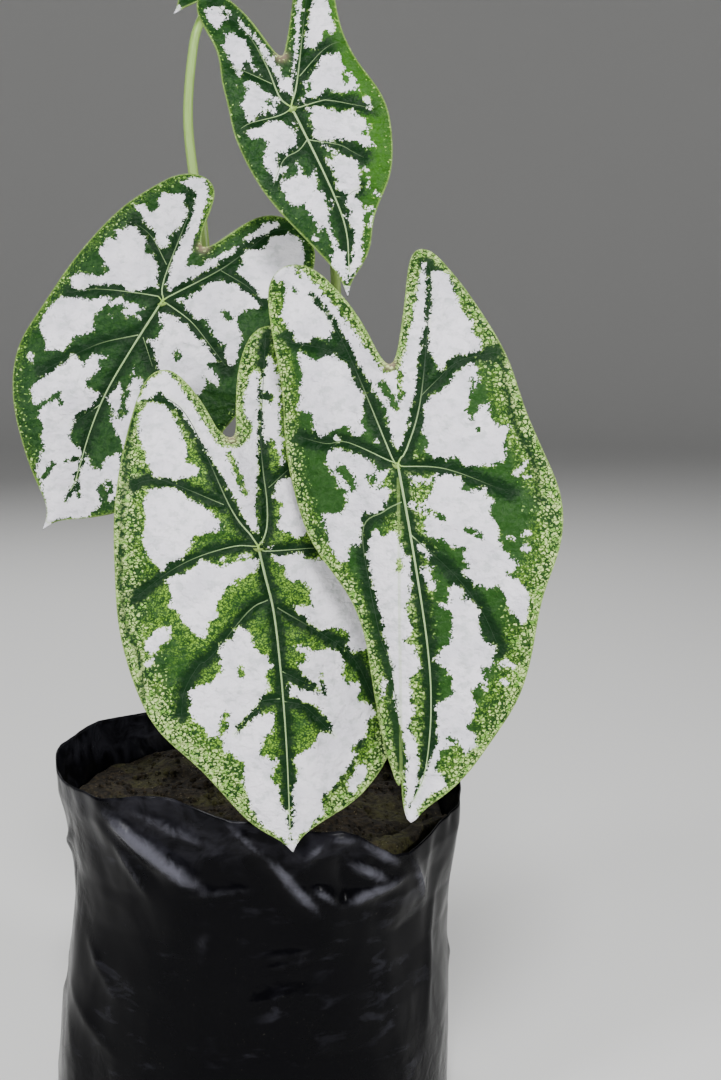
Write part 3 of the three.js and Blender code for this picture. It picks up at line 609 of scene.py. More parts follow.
# What the photograph shows on each leaf, read off its pixels: outlines of the white fields,
# paths of the veins, seams, which are dark lines inside the margin, and marks as (from x, from y,
# to x, to y, width), green ones in the white fields and white ones in the green. Net is the breadth
# of the speckled margin on the left and on the right in millimetres, then its strength. Lime is how
# fresh the green is at the joint, and how fast that grows to the right.
PIXELS_A_MILLIMETRE = 3  # of a mark's width
LEAVES = {
    1: {
        "white": [
            [(225, 5), (231, 12), (229, 19), (222, 22), (218, 30), (213, 28), (208, 22), (205, 8),
             (214, 5)],
            [(224, 31), (232, 32), (246, 40), (254, 66), (262, 76), (246, 64), (243, 68), (241, 77),
             (235, 74), (223, 48), (225, 40)],
            [(297, -12), (304, -12), (300, 40), (293, 98), (288, 94), (281, 92), (278, 80), (256, 44),
             (240, 26), (234, 14), (268, 50), (284, 77), (290, 77)],
            [(241, 82), (251, 80), (279, 100), (277, 108), (278, 115), (258, 116), (252, 122), (247, 123),
             (241, 105), (246, 90)],
            [(275, 120), (291, 125), (299, 140), (297, 148), (290, 150), (288, 155), (279, 152), (278, 158),
             (280, 165), (288, 166), (282, 175), (276, 178), (273, 182), (270, 172), (262, 163), (266, 150),
             (265, 143), (259, 140), (250, 139), (244, 132)],
            [(298, 160), (304, 178), (309, 176), (314, 166), (314, 175), (318, 180), (316, 188), (326, 192),
             (326, 200), (331, 214), (331, 228), (340, 248), (345, 250), (348, 283), (338, 275), (330, 265),
             (329, 245), (326, 232), (320, 235), (303, 208), (293, 208), (282, 190), (281, 180),
             (296, 178)],
            [(322, -8), (330, 5), (333, 22), (336, 28), (333, 36), (325, 30), (322, 40), (318, 42),
             (317, 49), (304, 49), (311, 2), (315, -8)],
            [(341, 53), (345, 65), (356, 78), (359, 91), (345, 94), (325, 91), (320, 96), (313, 97),
             (306, 103), (298, 105), (309, 90), (309, 75), (315, 67), (320, 55), (330, 51)],
            [(303, 109), (320, 106), (328, 109), (350, 112), (368, 122), (371, 130), (363, 133), (370, 137),
             (377, 148), (362, 150), (356, 143), (333, 139), (328, 142), (320, 141), (312, 136), (314, 128),
             (309, 120), (311, 114)],
            [(338, 151), (343, 155), (358, 158), (360, 164), (357, 169), (362, 180), (360, 191), (354, 192),
             (363, 203), (366, 210), (361, 243), (362, 256), (357, 270), (349, 281), (347, 268), (352, 258),
             (354, 236), (350, 220), (350, 210), (345, 202), (347, 195), (335, 187), (337, 180), (326, 157),
             (333, 160)],
        ],
        "midrib": [[(293, 112), (300, 122), (341, 216), (348, 270)]],
        "basal": [
            [(288, 103), (280, 96), (266, 65), (247, 35), (214, 0)],
            [(292, 101), (296, 91), (300, 65), (304, 10), (310, -28)],
        ],
        "lateral": [
            [(290, 108), (280, 115), (250, 122), (240, 128)],
            [(307, 140), (300, 150), (283, 160), (272, 185)],
            [(297, 107), (320, 101), (331, 101), (372, 108)],
            [(308, 140), (340, 145), (352, 153), (365, 157)],
        ],
        "fine": [
            [(273, 82), (245, 70), (232, 68)],
            [(298, 75), (318, 52), (331, 44), (340, 42)],
            [(335, 195), (345, 197), (352, 190), (360, 190)],
        ],
        "seam": [],
        "green_marks": [
            (222, 12, 226, 14, 3), (345, 74, 346, 80, 4), (268, 102, 270, 104, 3), (262, 110, 268, 112, 3),
            (324, 232, 330, 250, 7), (349, 224, 351, 230, 3),
        ],
        "white_marks": [
            (352, 111, 358, 114, 5), (366, 99, 369, 108, 5), (324, 146, 334, 153, 4),
            (364, 165, 368, 171, 4), (368, 180, 369, 188, 4), (374, 192, 379, 194, 5),
            (312, 237, 316, 239, 6), (305, 82, 306, 88, 5), (294, 121, 296, 124, 3),
            (297, 164, 298, 172, 4), (331, 200, 332, 206, 3), (344, 214, 348, 220, 4),
            (368, 209, 373, 209, 4), (371, 216, 370, 224, 3), (233, 87, 235, 87, 3),
            (330, 255, 332, 264, 4),
        ],
        "net": (4, 5, 0.45),
        "lime": (0.12, 0.02),
    },
    2: {
        "white": [
            [(187, 190), (187, 197), (184, 202), (187, 210), (182, 224), (177, 228), (170, 238), (166, 247),
             (158, 247), (153, 230), (147, 226), (137, 206), (143, 204), (151, 212), (158, 208), (158, 200),
             (161, 193), (172, 194)],
            [(204, 177), (208, 190), (205, 206), (186, 266), (199, 266), (243, 242), (240, 250), (228, 256),
             (200, 275), (184, 282), (170, 292), (165, 281), (175, 257), (180, 240), (188, 226), (195, 192),
             (178, 180), (190, 175)],
            [(159, 268), (158, 287), (147, 288), (142, 291), (125, 291), (122, 285), (105, 284), (90, 286),
             (84, 291), (72, 286), (71, 278), (78, 273), (97, 276), (108, 272), (99, 257), (101, 248),
             (108, 240), (117, 241), (115, 232), (125, 231), (131, 223), (146, 236), (149, 244), (148, 251),
             (153, 255)],
            [(145, 309), (130, 317), (122, 316), (129, 309), (120, 305), (113, 310), (108, 306), (93, 317),
             (94, 332), (73, 338), (66, 350), (46, 352), (46, 341), (38, 328), (44, 312), (56, 298),
             (78, 297), (91, 301), (106, 295), (112, 300), (123, 296), (130, 302)],
            [(105, 355), (101, 363), (102, 369), (87, 380), (88, 389), (104, 393), (92, 406), (75, 416),
             (70, 435), (71, 443), (87, 452), (91, 467), (101, 469), (106, 460), (121, 453), (122, 475),
             (118, 500), (105, 503), (96, 509), (88, 518), (64, 519), (46, 524), (46, 505), (36, 470),
             (38, 457), (45, 449), (41, 438), (43, 429), (38, 416), (42, 405), (35, 406), (33, 385),
             (60, 366), (75, 353), (84, 366), (92, 356)],
            [(160, 313), (168, 312), (180, 319), (209, 348), (219, 362), (208, 362), (220, 378), (217, 386),
             (205, 376), (208, 388), (199, 394), (185, 395), (170, 390), (158, 372), (155, 352), (147, 340),
             (157, 339), (159, 331), (166, 330)],
            [(216, 279), (235, 284), (258, 300), (262, 308), (245, 313), (238, 320), (243, 338), (240, 355),
             (236, 365), (229, 368), (222, 352), (226, 345), (218, 343), (205, 320), (197, 322), (193, 315),
             (185, 308), (183, 303), (208, 283)],
            [(290, 232), (303, 240), (305, 262), (300, 285), (285, 300), (262, 298), (247, 280), (236, 271),
             (243, 263), (240, 256), (245, 250), (265, 247), (270, 240), (278, 235)],
            [(245, 238), (252, 230), (268, 222), (276, 221), (280, 228), (250, 243)],
            [(120, 383), (124, 388), (121, 412), (117, 418), (107, 399)],
            [(143, 380), (142, 395), (150, 415), (140, 440), (124, 450), (106, 415), (118, 420), (124, 418),
             (131, 378)],
        ],
        "midrib": [[(163, 300), (129, 351), (107, 392), (90, 429), (76, 479), (70, 491)]],
        "basal": [
            [(163, 297), (163, 281), (188, 216), (193, 191)],
            [(168, 298), (222, 268), (259, 240), (275, 231), (288, 227)],
        ],
        "lateral": [
            [(158, 297), (100, 289), (68, 292)],
            [(139, 334), (107, 340), (90, 346), (58, 361), (43, 372)],
            [(168, 304), (191, 322), (211, 345), (228, 370)],
        ],
        "fine": [
            [(165, 265), (151, 236), (136, 223)],
            [(100, 405), (72, 425)],
            [(142, 337), (151, 367)],
            [(222, 270), (246, 285), (258, 297), (262, 305)],
        ],
        "seam": [],
        "green_marks": [
            (225, 315, 228, 318, 7), (177, 355, 178, 358, 7), (40, 407, 60, 394, 4), (56, 395, 62, 403, 3),
            (45, 477, 52, 463, 4), (84, 452, 77, 478, 4), (77, 478, 80, 496, 4), (76, 482, 66, 500, 3),
            (67, 461, 80, 460, 3), (103, 490, 106, 505, 8), (110, 484, 112, 490, 5),
            (123, 396, 124, 414, 3),
        ],
        "white_marks": [
            (178, 301, 185, 300, 5), (159, 316, 162, 326, 3), (138, 317, 142, 317, 4),
            (31, 355, 32, 361, 5), (110, 313, 113, 318, 2), (98, 362, 104, 358, 3), (133, 368, 133, 373, 3),
        ],
        "net": (9, 5, 0.5),
        "lime": (0.12, 0),
    },
    3: {
        "white": [
            [(150, 402), (166, 405), (177, 421), (189, 447), (188, 461), (200, 468), (201, 476), (190, 479),
             (176, 479), (153, 476), (146, 463), (146, 452), (138, 441), (136, 428), (140, 414)],
            [(157, 373), (167, 371), (180, 386), (219, 447), (236, 451), (249, 437), (251, 427), (245, 415),
             (244, 400), (249, 369), (259, 374), (257, 515), (259, 533), (250, 530), (220, 475), (180, 412),
             (160, 392), (149, 399), (136, 400), (147, 381)],
            [(166, 486), (181, 490), (187, 499), (207, 506), (219, 521), (224, 531), (196, 537), (183, 558),
             (170, 563), (163, 572), (146, 553), (143, 536), (147, 520), (143, 505), (150, 490)],
            [(259, 557), (258, 570), (228, 589), (219, 598), (217, 611), (219, 618), (209, 623), (208, 636),
             (200, 639), (182, 624), (177, 613), (168, 606), (170, 597), (166, 577), (193, 569), (199, 559),
             (210, 560), (216, 565), (250, 560)],
            [(170, 629), (171, 636), (164, 647), (152, 656), (145, 652), (143, 645), (150, 633),
             (158, 628)],
            [(158, 654), (150, 668), (147, 680), (145, 663)],
            [(243, 628), (249, 630), (260, 654), (270, 657), (272, 668), (266, 676), (269, 688), (256, 704),
             (262, 716), (269, 712), (276, 712), (276, 730), (264, 738), (261, 755), (271, 758), (279, 756),
             (280, 763), (274, 768), (272, 780), (279, 785), (281, 803), (287, 815), (292, 845), (275, 836),
             (258, 822), (250, 808), (248, 795), (243, 782), (242, 762), (224, 750), (220, 740), (210, 737),
             (190, 716), (188, 690), (197, 685), (214, 680), (219, 670), (219, 655), (217, 648), (225, 641),
             (231, 640), (234, 632)],
            [(268, 356), (273, 360), (279, 378), (281, 430), (286, 465), (281, 466), (277, 452), (271, 440),
             (266, 445), (262, 435), (262, 385), (266, 372)],
            [(279, 479), (320, 476), (335, 500), (340, 535), (325, 545), (306, 534), (297, 539), (277, 529),
             (281, 504), (272, 499), (273, 488)],
            [(272, 557), (277, 554), (302, 552), (306, 558), (312, 560), (345, 557), (365, 580), (378, 610),
             (380, 650), (350, 651), (346, 648), (349, 635), (345, 631), (332, 631), (318, 628), (305, 618),
             (293, 607), (311, 607), (308, 598), (309, 588), (300, 582), (291, 582), (285, 574), (285, 568),
             (275, 562)],
            [(303, 645), (311, 649), (330, 649), (341, 652), (347, 662), (342, 675), (349, 681), (359, 684),
             (361, 691), (359, 699), (370, 704), (375, 712), (369, 722), (363, 740), (351, 749), (357, 755),
             (348, 770), (321, 801), (327, 811), (292, 845), (291, 830), (293, 808), (290, 790), (298, 772),
             (293, 757), (311, 746), (318, 732), (331, 735), (330, 722), (316, 707), (303, 703), (289, 694),
             (287, 681), (296, 687), (326, 693), (299, 673), (297, 665), (308, 660), (293, 648)],
            [(365, 763), (369, 770), (365, 779), (351, 795), (347, 781), (358, 762)],
        ],
        "midrib": [],
        "basal": [
            [(250, 535), (229, 507), (190, 424), (168, 400), (150, 399)],
            [(262, 540), (266, 525), (267, 500), (262, 470), (260, 430), (267, 335)],
        ],
        "lateral": [
            [(255, 547), (235, 547), (198, 557), (168, 571), (134, 598)],
            [(268, 600), (249, 611), (211, 656), (198, 666), (185, 690), (180, 715)],
            [(265, 552), (320, 548)],
            [(276, 607), (346, 653), (372, 697)],
        ],
        "fine": [
            [(225, 503), (165, 482), (147, 480), (135, 485)],
            [(280, 700), (263, 702), (256, 707), (235, 733)],
            [(267, 488), (288, 468)],
            [(283, 672), (326, 693)],
            [(284, 700), (300, 705), (315, 715), (333, 735)],
        ],
        "seam": [
            [(135, 402), (127, 460), (122, 600), (140, 660), (145, 700)],
            [(372, 700), (365, 730), (345, 777), (325, 795)],
        ],
        "green_marks": [
            (229, 457, 247, 493, 5), (262, 705, 240, 729, 6), (226, 716, 223, 732, 5),
            (240, 668, 240, 674, 5), (265, 395, 272, 400, 6), (346, 781, 336, 783, 2),
            (322, 676, 324, 690, 2),
        ],
        "white_marks": [
            (240, 557, 247, 557, 5), (222, 558, 226, 560, 4), (268, 548, 273, 548, 3),
            (261, 543, 264, 543, 2),
        ],
        "net": (16, 12, 1),
        "lime": (0.95, 0),
    },
    4: {
        "white": [
            [(283, 264), (296, 266), (316, 283), (322, 292), (312, 294), (330, 318), (335, 328), (330, 334),
             (332, 342), (316, 336), (306, 346), (298, 342), (292, 330), (284, 325), (281, 318), (285, 290),
             (282, 282), (274, 283), (272, 272)],
            [(303, 272), (332, 298), (378, 366), (386, 374), (399, 370), (414, 310), (421, 258), (428, 262),
             (425, 325), (418, 368), (417, 388), (411, 404), (401, 450), (392, 441), (384, 410), (360, 368),
             (347, 338), (328, 312), (310, 292)],
            [(299, 352), (318, 361), (322, 354), (333, 353), (349, 366), (353, 379), (363, 394), (362, 424),
             (367, 431), (356, 437), (346, 428), (334, 430), (321, 437), (315, 432), (312, 414), (297, 410),
             (300, 398), (299, 384), (303, 374), (298, 362)],
            [(338, 448), (368, 458), (378, 470), (390, 469), (385, 478), (376, 487), (393, 486), (386, 505),
             (380, 513), (372, 516), (363, 512), (361, 525), (363, 530), (359, 534), (362, 540), (361, 547),
             (347, 546), (350, 562), (340, 565), (335, 560), (330, 548), (320, 513), (336, 514), (344, 510),
             (347, 500), (344, 490), (338, 486), (336, 478), (325, 464), (326, 450)],
            [(393, 528), (397, 529), (404, 552), (410, 560), (413, 597), (406, 608), (411, 622), (416, 628),
             (407, 641), (414, 648), (420, 668), (409, 681), (411, 700), (416, 714), (409, 726), (416, 740),
             (420, 764), (415, 790), (408, 812), (401, 824), (404, 800), (403, 778), (406, 758), (394, 702),
             (390, 665), (366, 555), (370, 536), (377, 530), (384, 536)],
            [(383, 678), (387, 680), (386, 692), (382, 700), (380, 692)],
            [(442, 268), (450, 278), (462, 311), (473, 322), (474, 333), (481, 342), (480, 352), (470, 356),
             (456, 355), (446, 361), (440, 373), (428, 353), (426, 344), (430, 336), (427, 322), (430, 305),
             (431, 270)],
            [(473, 361), (481, 384), (473, 392), (466, 411), (471, 420), (479, 408), (491, 402), (489, 418),
             (498, 425), (511, 425), (507, 443), (506, 461), (494, 466), (481, 466), (470, 469), (463, 465),
             (456, 456), (449, 461), (433, 461), (425, 450), (427, 441), (423, 432), (424, 405), (431, 396),
             (440, 391), (452, 374)],
            [(433, 471), (441, 476), (449, 472), (460, 479), (464, 484), (460, 488), (477, 490), (489, 487),
             (487, 496), (494, 501), (489, 512), (497, 524), (499, 541), (506, 553), (519, 565), (509, 573),
             (527, 587), (529, 602), (527, 618), (522, 628), (513, 612), (504, 603), (500, 588), (488, 590),
             (476, 586), (461, 571), (469, 568), (462, 560), (466, 549), (449, 546), (441, 540), (427, 537),
             (423, 522), (430, 515), (424, 501), (433, 490)],
            [(454, 581), (481, 611), (479, 623), (486, 640), (496, 646), (495, 662), (490, 671), (482, 664),
             (484, 676), (478, 685), (470, 691), (477, 704), (473, 718), (466, 730), (476, 733), (476, 745),
             (465, 757), (457, 742), (440, 750), (436, 772), (446, 779), (447, 786), (430, 796), (412, 811),
             (402, 823), (438, 742), (438, 727), (434, 706), (446, 700), (451, 688), (451, 678), (433, 660),
             (447, 640), (451, 626), (450, 612), (427, 602), (449, 603), (449, 590)],
        ],
        "midrib": [[(399, 465), (412, 537), (426, 645), (431, 710), (424, 768), (414, 800)]],
        "basal": [
            [(393, 457), (344, 341), (312, 294)],
            [(402, 457), (407, 448), (420, 395), (430, 280), (428, 262)],
        ],
        "lateral": [
            [(390, 460), (347, 443), (327, 443), (300, 436)],
            [(401, 501), (383, 513), (364, 534), (379, 630), (390, 670), (405, 765)],
            [(401, 467), (445, 469), (509, 492)],
            [(411, 535), (455, 574), (482, 610), (500, 650)],
        ],
        "fine": [
            [(350, 360), (327, 348), (296, 343), (285, 335)],
            [(420, 395), (438, 378), (460, 360), (497, 352)],
        ],
        "seam": [[(497, 340), (515, 420), (532, 460), (540, 500)]],
        "green_marks": [
            (297, 270, 300, 276, 3), (311, 276, 316, 283, 3), (383, 385, 396, 410, 6),
            (401, 374, 401, 397, 5), (293, 290, 294, 292, 2), (311, 293, 336, 322, 4),
            (342, 470, 350, 481, 8), (372, 478, 372, 483, 7), (353, 487, 353, 490, 3),
            (398, 562, 400, 567, 6), (477, 430, 479, 430, 3), (464, 527, 481, 537, 3),
            (428, 512, 443, 520, 4), (508, 573, 522, 579, 3), (496, 588, 502, 600, 6),
            (463, 596, 464, 598, 4), (448, 738, 451, 742, 3), (470, 380, 471, 392, 2),
        ],
        "white_marks": [
            (411, 477, 429, 481, 6), (409, 483, 419, 485, 4), (411, 504, 425, 512, 7),
            (421, 548, 430, 556, 8), (423, 570, 434, 586, 9), (429, 564, 432, 567, 3),
            (506, 663, 511, 665, 7), (499, 664, 502, 665, 5), (503, 680, 506, 684, 7),
            (485, 679, 484, 688, 4), (523, 549, 530, 549, 7), (516, 474, 528, 461, 6),
            (524, 477, 529, 477, 4), (508, 538, 514, 540, 4), (521, 533, 528, 533, 4),
            (375, 436, 378, 440, 3), (334, 438, 339, 440, 5),
        ],
        "net": (8, 16, 0.86),
        "lime": (0.3, 0),
    },
}


def sight(u, v):
    """Direction in which the camera sees a pixel of the photograph."""
    focus = CAMERA_LENS / CAMERA_SENSOR * PHOTO_SIZE[1]
    level = Vector((u - PHOTO_SIZE[0] / 2, PHOTO_SIZE[1] / 2 - v, -focus))
    return Matrix.Rotation(math.radians(90 - CAMERA_PITCH), 3, "X") @ level


def on_blade(leaf, u, v):
    """Where a pixel of the photograph lies on a blade, in whole millimetres of the blade's plane."""
    bend = BENDS[leaf]
    camera_at = Vector(CAMERA_AT)
    to_joint = sight(*bend["joint"])
    joint = camera_at + to_joint * ((PLACES[leaf]["joint"][1] * MM - camera_at.y) / to_joint.y)
    to_plane = blade_place(leaf).to_3x3().inverted()
    eye = to_plane @ (camera_at - joint)
    way = to_plane @ sight(u, v)
    z = 0
    for _ in range(SIGHT_PASSES):
        x, y = (eye + way * ((z - eye.z) / way.z)).xy
        end = 0 if y < 0 else 1
        reach = bend["reach"][end]
        side = x - bend["bow"] * math.sin(math.pi * min(1, max(0, -y / reach)))
        fold = bend["folds"][0 if side < 0 else 1]
        z = fold * (math.hypot(side, FOLD_ROUND) - FOLD_ROUND) + bend["hang"][end] * (y / reach) ** 2
    return round(x), round(y)


for number, leaf in LEAVES.items():
    for kind in ("white", "midrib", "basal", "lateral", "fine", "seam"):
        leaf[kind] = [[on_blade(number, *pixel) for pixel in line] for line in leaf[kind]]
    for kind in ("green_marks", "white_marks"):
        leaf[kind] = [
            (*on_blade(number, x, y), *on_blade(number, to_x, to_y), round(width / PIXELS_A_MILLIMETRE, 1))
            for x, y, to_x, to_y, width in leaf[kind]
        ]
# Drawn in the blades' own millimetres, x to the right and y from the joint to the lobes: the third
# leaf's midrib, and the veins of the fifth leaf, of which the photograph shows only the tip.
LEAVES[3]["midrib"] = [[(0, 0), (1.2, -11), (2.6, -24), (2.4, -45), (1.2, -70), (-1, -97)]]
LEAVES[5] = {
    "white": [],
    "midrib": [[(0, 0), (1, -20), (0, -52)]],
    "basal": [[(-1, 2), (-6, 14), (-14, 30)], [(1, 2), (6, 14), (14, 29)]],
    "lateral": [
        [(-1, -2), (-12, -4), (-21, -9)],
        [(0, -15), (-9, -22), (-15, -30)],
        [(1, -2), (12, -4), (21, -9)],
        [(1, -15), (9, -22), (16, -30)],
    ],
    "fine": [[(-5, 12), (-14, 14), (-21, 13)], [(5, 12), (14, 14), (21, 13)]],
    "seam": [],
    "net": (5, 5, 0.4),
    "lime": (0.2, 0),
}
PLAIN_BAND = 2.3  # green beside the veins of a blade with no fields drawn
PLAIN_MARGIN = 4.5
FIELD_TRIM = 0.35  # taken off the drawn fields all round
SEAM_FAINT = 1.9  # added to the distance from a seam, against a vein's
VEIN_STEP = 1.5
SEAM_STEP = 3
TIP_PALE = 2.6  # radius of the pale tip
DRIP = 2.2  # length of the fine point that the tip ends in
PALE_REACH = (6, 34)  # from the joint, where the side veins fade from pale to green
JOINT_REACH = 6  # veins that start nearer to the joint than this grow out of it
JOINT_GLOW = 4  # yellow-green star where they meet
VEIN_SINK = 0.25  # share of its radius that a vein lies below the face
RIB_SINK = 0.75  # share of its radius that a rib lies below the back
MIDRIB_BREADTH = 1.2  # from the midrib's line, within which a vein counts as the midrib
BLUSH = 0.35
BLUSH_REACH = 2


def meshes(finish, place, scale):
    """How far a spot lies from the walls of an uneven net, scaled in meshes per metre."""
    net = wire(finish, "ShaderNodeTexVoronoi", {"Vector": place, "Scale": scale}, feature="DISTANCE_TO_EDGE")
    return net.outputs["Distance"]


def blade_finish(name, paleness, roughness):
    """Marbled skin of a blade, paled for its underside."""
    skin = new_finish(name, Roughness=roughness, Specular_IOR_Level=0.1)
    place = place_on(skin)
    field, vein, margin = parts_of(skin, attribute(skin, "marks", "Vector"))
    net, lime, blush = parts_of(skin, attribute(skin, "traits", "Vector"))

    coarse = grain(skin, place, 420, 3, 0.55)
    fine = grain(skin, place, 1400, 3, 0.6)
    patchy = grain(skin, place, 640, 4, 0.65, 0.6)
    cloud = grain(skin, place, 90, 2)
    wide = about_zero(skin, coarse, 4)
    jag = sums(skin, "ADD", wide, about_zero(skin, fine, 4.4))
    ragged = sums(skin, "ADD", field, jag)
    white = rise(skin, ragged, -0.08, 0.1)

    swirl = wire(skin, "ShaderNodeTexNoise", {"Vector": place, "Scale": 700}).outputs["Color"]
    swirled = {0: swirl, 1: (0.0018, 0.0018, 0.0018), 2: place}
    bent = wire(skin, "ShaderNodeVectorMath", swirled, operation="MULTIPLY_ADD").outputs[0]
    bent = stretched(skin, bent, (1, 1, 1.4))
    walls = sums(skin, "ADD", meshes(skin, bent, 600), about_zero(skin, coarse, 0.5))
    walls = sums(skin, "ADD", walls, about_zero(skin, fine, 0.3))
    between = sums(skin, "ADD", meshes(skin, bent, 820), about_zero(skin, fine, 0.3))
    between = rise(skin, between, 0.05, 0.2)

    near_vein = sums(skin, "ADD", vein, wide)
    frayed = sums(skin, "ADD", near_vein, about_zero(skin, fine, 5))
    away = sums(skin, "MAXIMUM", rise(skin, frayed, 1.6, 4.6), rise(skin, margin, 1, 7, 0.8, 0))
    away = times(skin, away, rise(skin, net, 0.1, 0.8, 1, 0.35))
    lush = times(skin, rise(skin, lime, 0.15, 0.65), rise(skin, lime, 0.66, 0.9, 1, 0.1))
    middle = tint(skin, lush, shade(24, 56, 21), shade(50, 96, 18))
    leafy = tint(skin, away, shade(12, 40, 14), middle)
    open_green = rise(skin, near_vein, 1.2, 4.5)
    mottle = times(skin, rise(skin, patchy, 0.46, 0.56), open_green)
    leafy = tint(skin, times(skin, mottle, 0.4), leafy, shade(50, 84, 36))
    zones = times(skin, rise(skin, cloud, 0.72, 0.5), rise(skin, ragged, -11, -0.6))
    eager = sums(skin, "MAXIMUM", rise(skin, lime, 0.66, 0.9), rise(skin, net, 0.3, 0.55, 0, 0.8))
    eager = times(skin, eager, rise(skin, net, 0.5, 0.85, 1, 0.15))
    fleck = times(skin, times(skin, eager, open_green), zones)
    fleck = times(skin, fleck, times(skin, rise(skin, patchy, 0.4, 0.5), between))
    leafy = tint(skin, fleck, leafy, shade(116, 158, 50))
    halo = times(skin, rise(skin, ragged, -0.7, -0.05), rise(skin, coarse, 0.48, 0.6))
    halo = times(skin, halo, sums(skin, "ADD", lime, 0.25))
    leafy = tint(skin, halo, leafy, shade(146, 182, 84))

    thinned = rise(skin, net, 0, 0.9, 0.45, 0.09)
    speck = rise(skin, sums(skin, "SUBTRACT", walls, thinned), -0.02, 0.05)
    speck = times(skin, speck, rise(skin, near_vein, 1.5, 4))
    speck = times(skin, speck, rise(skin, net, 0, 0.12))
    milky = times(skin, rise(skin, patchy, 0.4, 0.6), rise(skin, net, 0.1, 0.7, 0.25, 1))
    cream = tint(skin, milky, shade(100, 148, 54), shade(190, 212, 136))
    leafy = tint(skin, speck, leafy, cream)

    chalk = tint(skin, rise(skin, cloud, 0.35, 0.7, 0, 0.7), shade(232, 229, 236), shade(206, 204, 214))
    # Painted shade: soft grey streaks over the white fields, standing for the shade of fine ripples in the
    # blade.
    painted_ripple_shade = rise(skin, grain(skin, bent, 260, 3, 0.55), 0.48, 0.68, 0, 0.65)
    chalk = tint(skin, painted_ripple_shade, chalk, shade(186, 190, 192))
    chalk = tint(skin, rise(skin, vein, 0.3, 1.6, 0.4, 0), chalk, shade(206, 220, 190))
    skin_tint = tint(skin, white, leafy, chalk)
    skin_tint = tint(skin, rise(skin, margin, 0.15, 0.7, 0.5, 0), skin_tint, shade(150, 182, 96))
    skin_tint = tint(skin, blush, skin_tint, shade(214, 168, 160))
    skin_tint = tint(skin, paleness, skin_tint, shade(176, 194, 158))
    connect(skin, "Base Color", skin_tint)

    quilt = press(skin, grain(skin, bent, 170, 3), 0.0028, 0.75)
    pleat = press(skin, coarse, 0.00035, 0.5, quilt)
    connect(skin, "Normal", press(skin, fine, 0.0001, 0.5, pleat))
    return skin


def vein_finish():
    vein = new_finish("leaf_vein", Roughness=0.45, Specular_IOR_Level=0.3)
    place = place_on(vein)
    pale = attribute(vein, "pale")
    light = tint(vein, grain(vein, place, 240, 3), shade(128, 164, 96), shade(168, 192, 142))
    light = tint(vein, rise(vein, pale, 1.1, 2), light, shade(150, 188, 84))
    connect(vein, "Base Color", tint(vein, sums(vein, "MINIMUM", pale, 1), shade(14, 46, 16), light))
    connect(vein, "Normal", press(vein, grain(vein, place, 1600, 2), 0.0001, 0.5))
    return vein


def smooth_face(leaf):
    """Smooth copy of the upper face of a blade's solid, in the blade's own millimetres."""
    face = bmesh.new()
    face.from_mesh(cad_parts[f"leaf_{leaf}_blade"].data)
    bmesh.ops.remove_doubles(face, verts=face.verts, dist=1e-6)
    bmesh.ops.transform(face, matrix=blade_place(leaf).inverted(), verts=face.verts)
    face.normal_update()
    sides = [side for side in face.faces if side.normal.z < 0.05]
    bmesh.ops.delete(face, geom=sides, context="FACES")
    bmesh.ops.join_triangles(
        face, faces=face.faces, angle_face_threshold=math.pi, angle_shape_threshold=math.pi,
    )
    crease = face.verts.layers.float.new("crease_vert")
    min(face.verts, key=lambda vert: vert.co.y)[crease] = 1
    mesh = bpy.data.meshes.new("smooth_face")
    face.to_mesh(mesh)
    face.clear()
    copy = bpy.data.objects.new("smooth_face", mesh)
    bpy.context.scene.collection.objects.link(copy)
    rounding = copy.modifiers.new("rounding", "SUBSURF")
    rounding.levels = rounding.render_levels = 3
    bpy.context.view_layer.update()
    face.from_mesh(copy.evaluated_get(bpy.context.evaluated_depsgraph_get()).to_mesh())
    bpy.data.objects.remove(copy)
    return face


def margin_of(face):
    """The blade's outline as points in order, with their heights."""
    edge = next(edge for edge in face.edges if edge.is_boundary)
    start, vert = edge.verts
    line = [vert.co.copy()]
    while vert != start:
        edge = next(other for other in vert.link_edges if other.is_boundary and other != edge)
        vert = edge.other_vert(vert)
        line.append(vert.co.copy())
    return np.array(line)


def within(points, outline):
    """Which points lie inside a closed outline."""
    x, y = points.T
    odd = np.zeros(len(points), bool)
    for (ax, ay), (bx, by) in zip(outline, np.roll(outline, -1, 0)):
        if ay != by:
            odd ^= ((ay > y) != (by > y)) & (x < ax + (y - ay) * (bx - ax) / (by - ay))
    return odd


def line_distance(points, line):
    pairs = zip(line, line[1:])
    return np.min([segment_distance(points, start, end)[0] for start, end in pairs], axis=0)


def field_depth(points, leaf):
    """How deep each point lies in the white fields, negative out in the green."""
    depth = np.full(len(points), -99.0)
    for outline in leaf["white"]:
        outline = np.array(outline, float)
        away = line_distance(points, np.vstack([outline, outline[:1]]))
        depth = np.maximum(depth, np.where(within(points, outline), away, -away))
    for x, y, to_x, to_y, width in leaf["green_marks"]:
        depth = np.minimum(depth, segment_distance(points, (x, y), (to_x, to_y))[0] - width / 2)
    for x, y, to_x, to_y, width in leaf["white_marks"]:
        depth = np.maximum(depth, width / 2 - segment_distance(points, (x, y), (to_x, to_y))[0])
    return depth


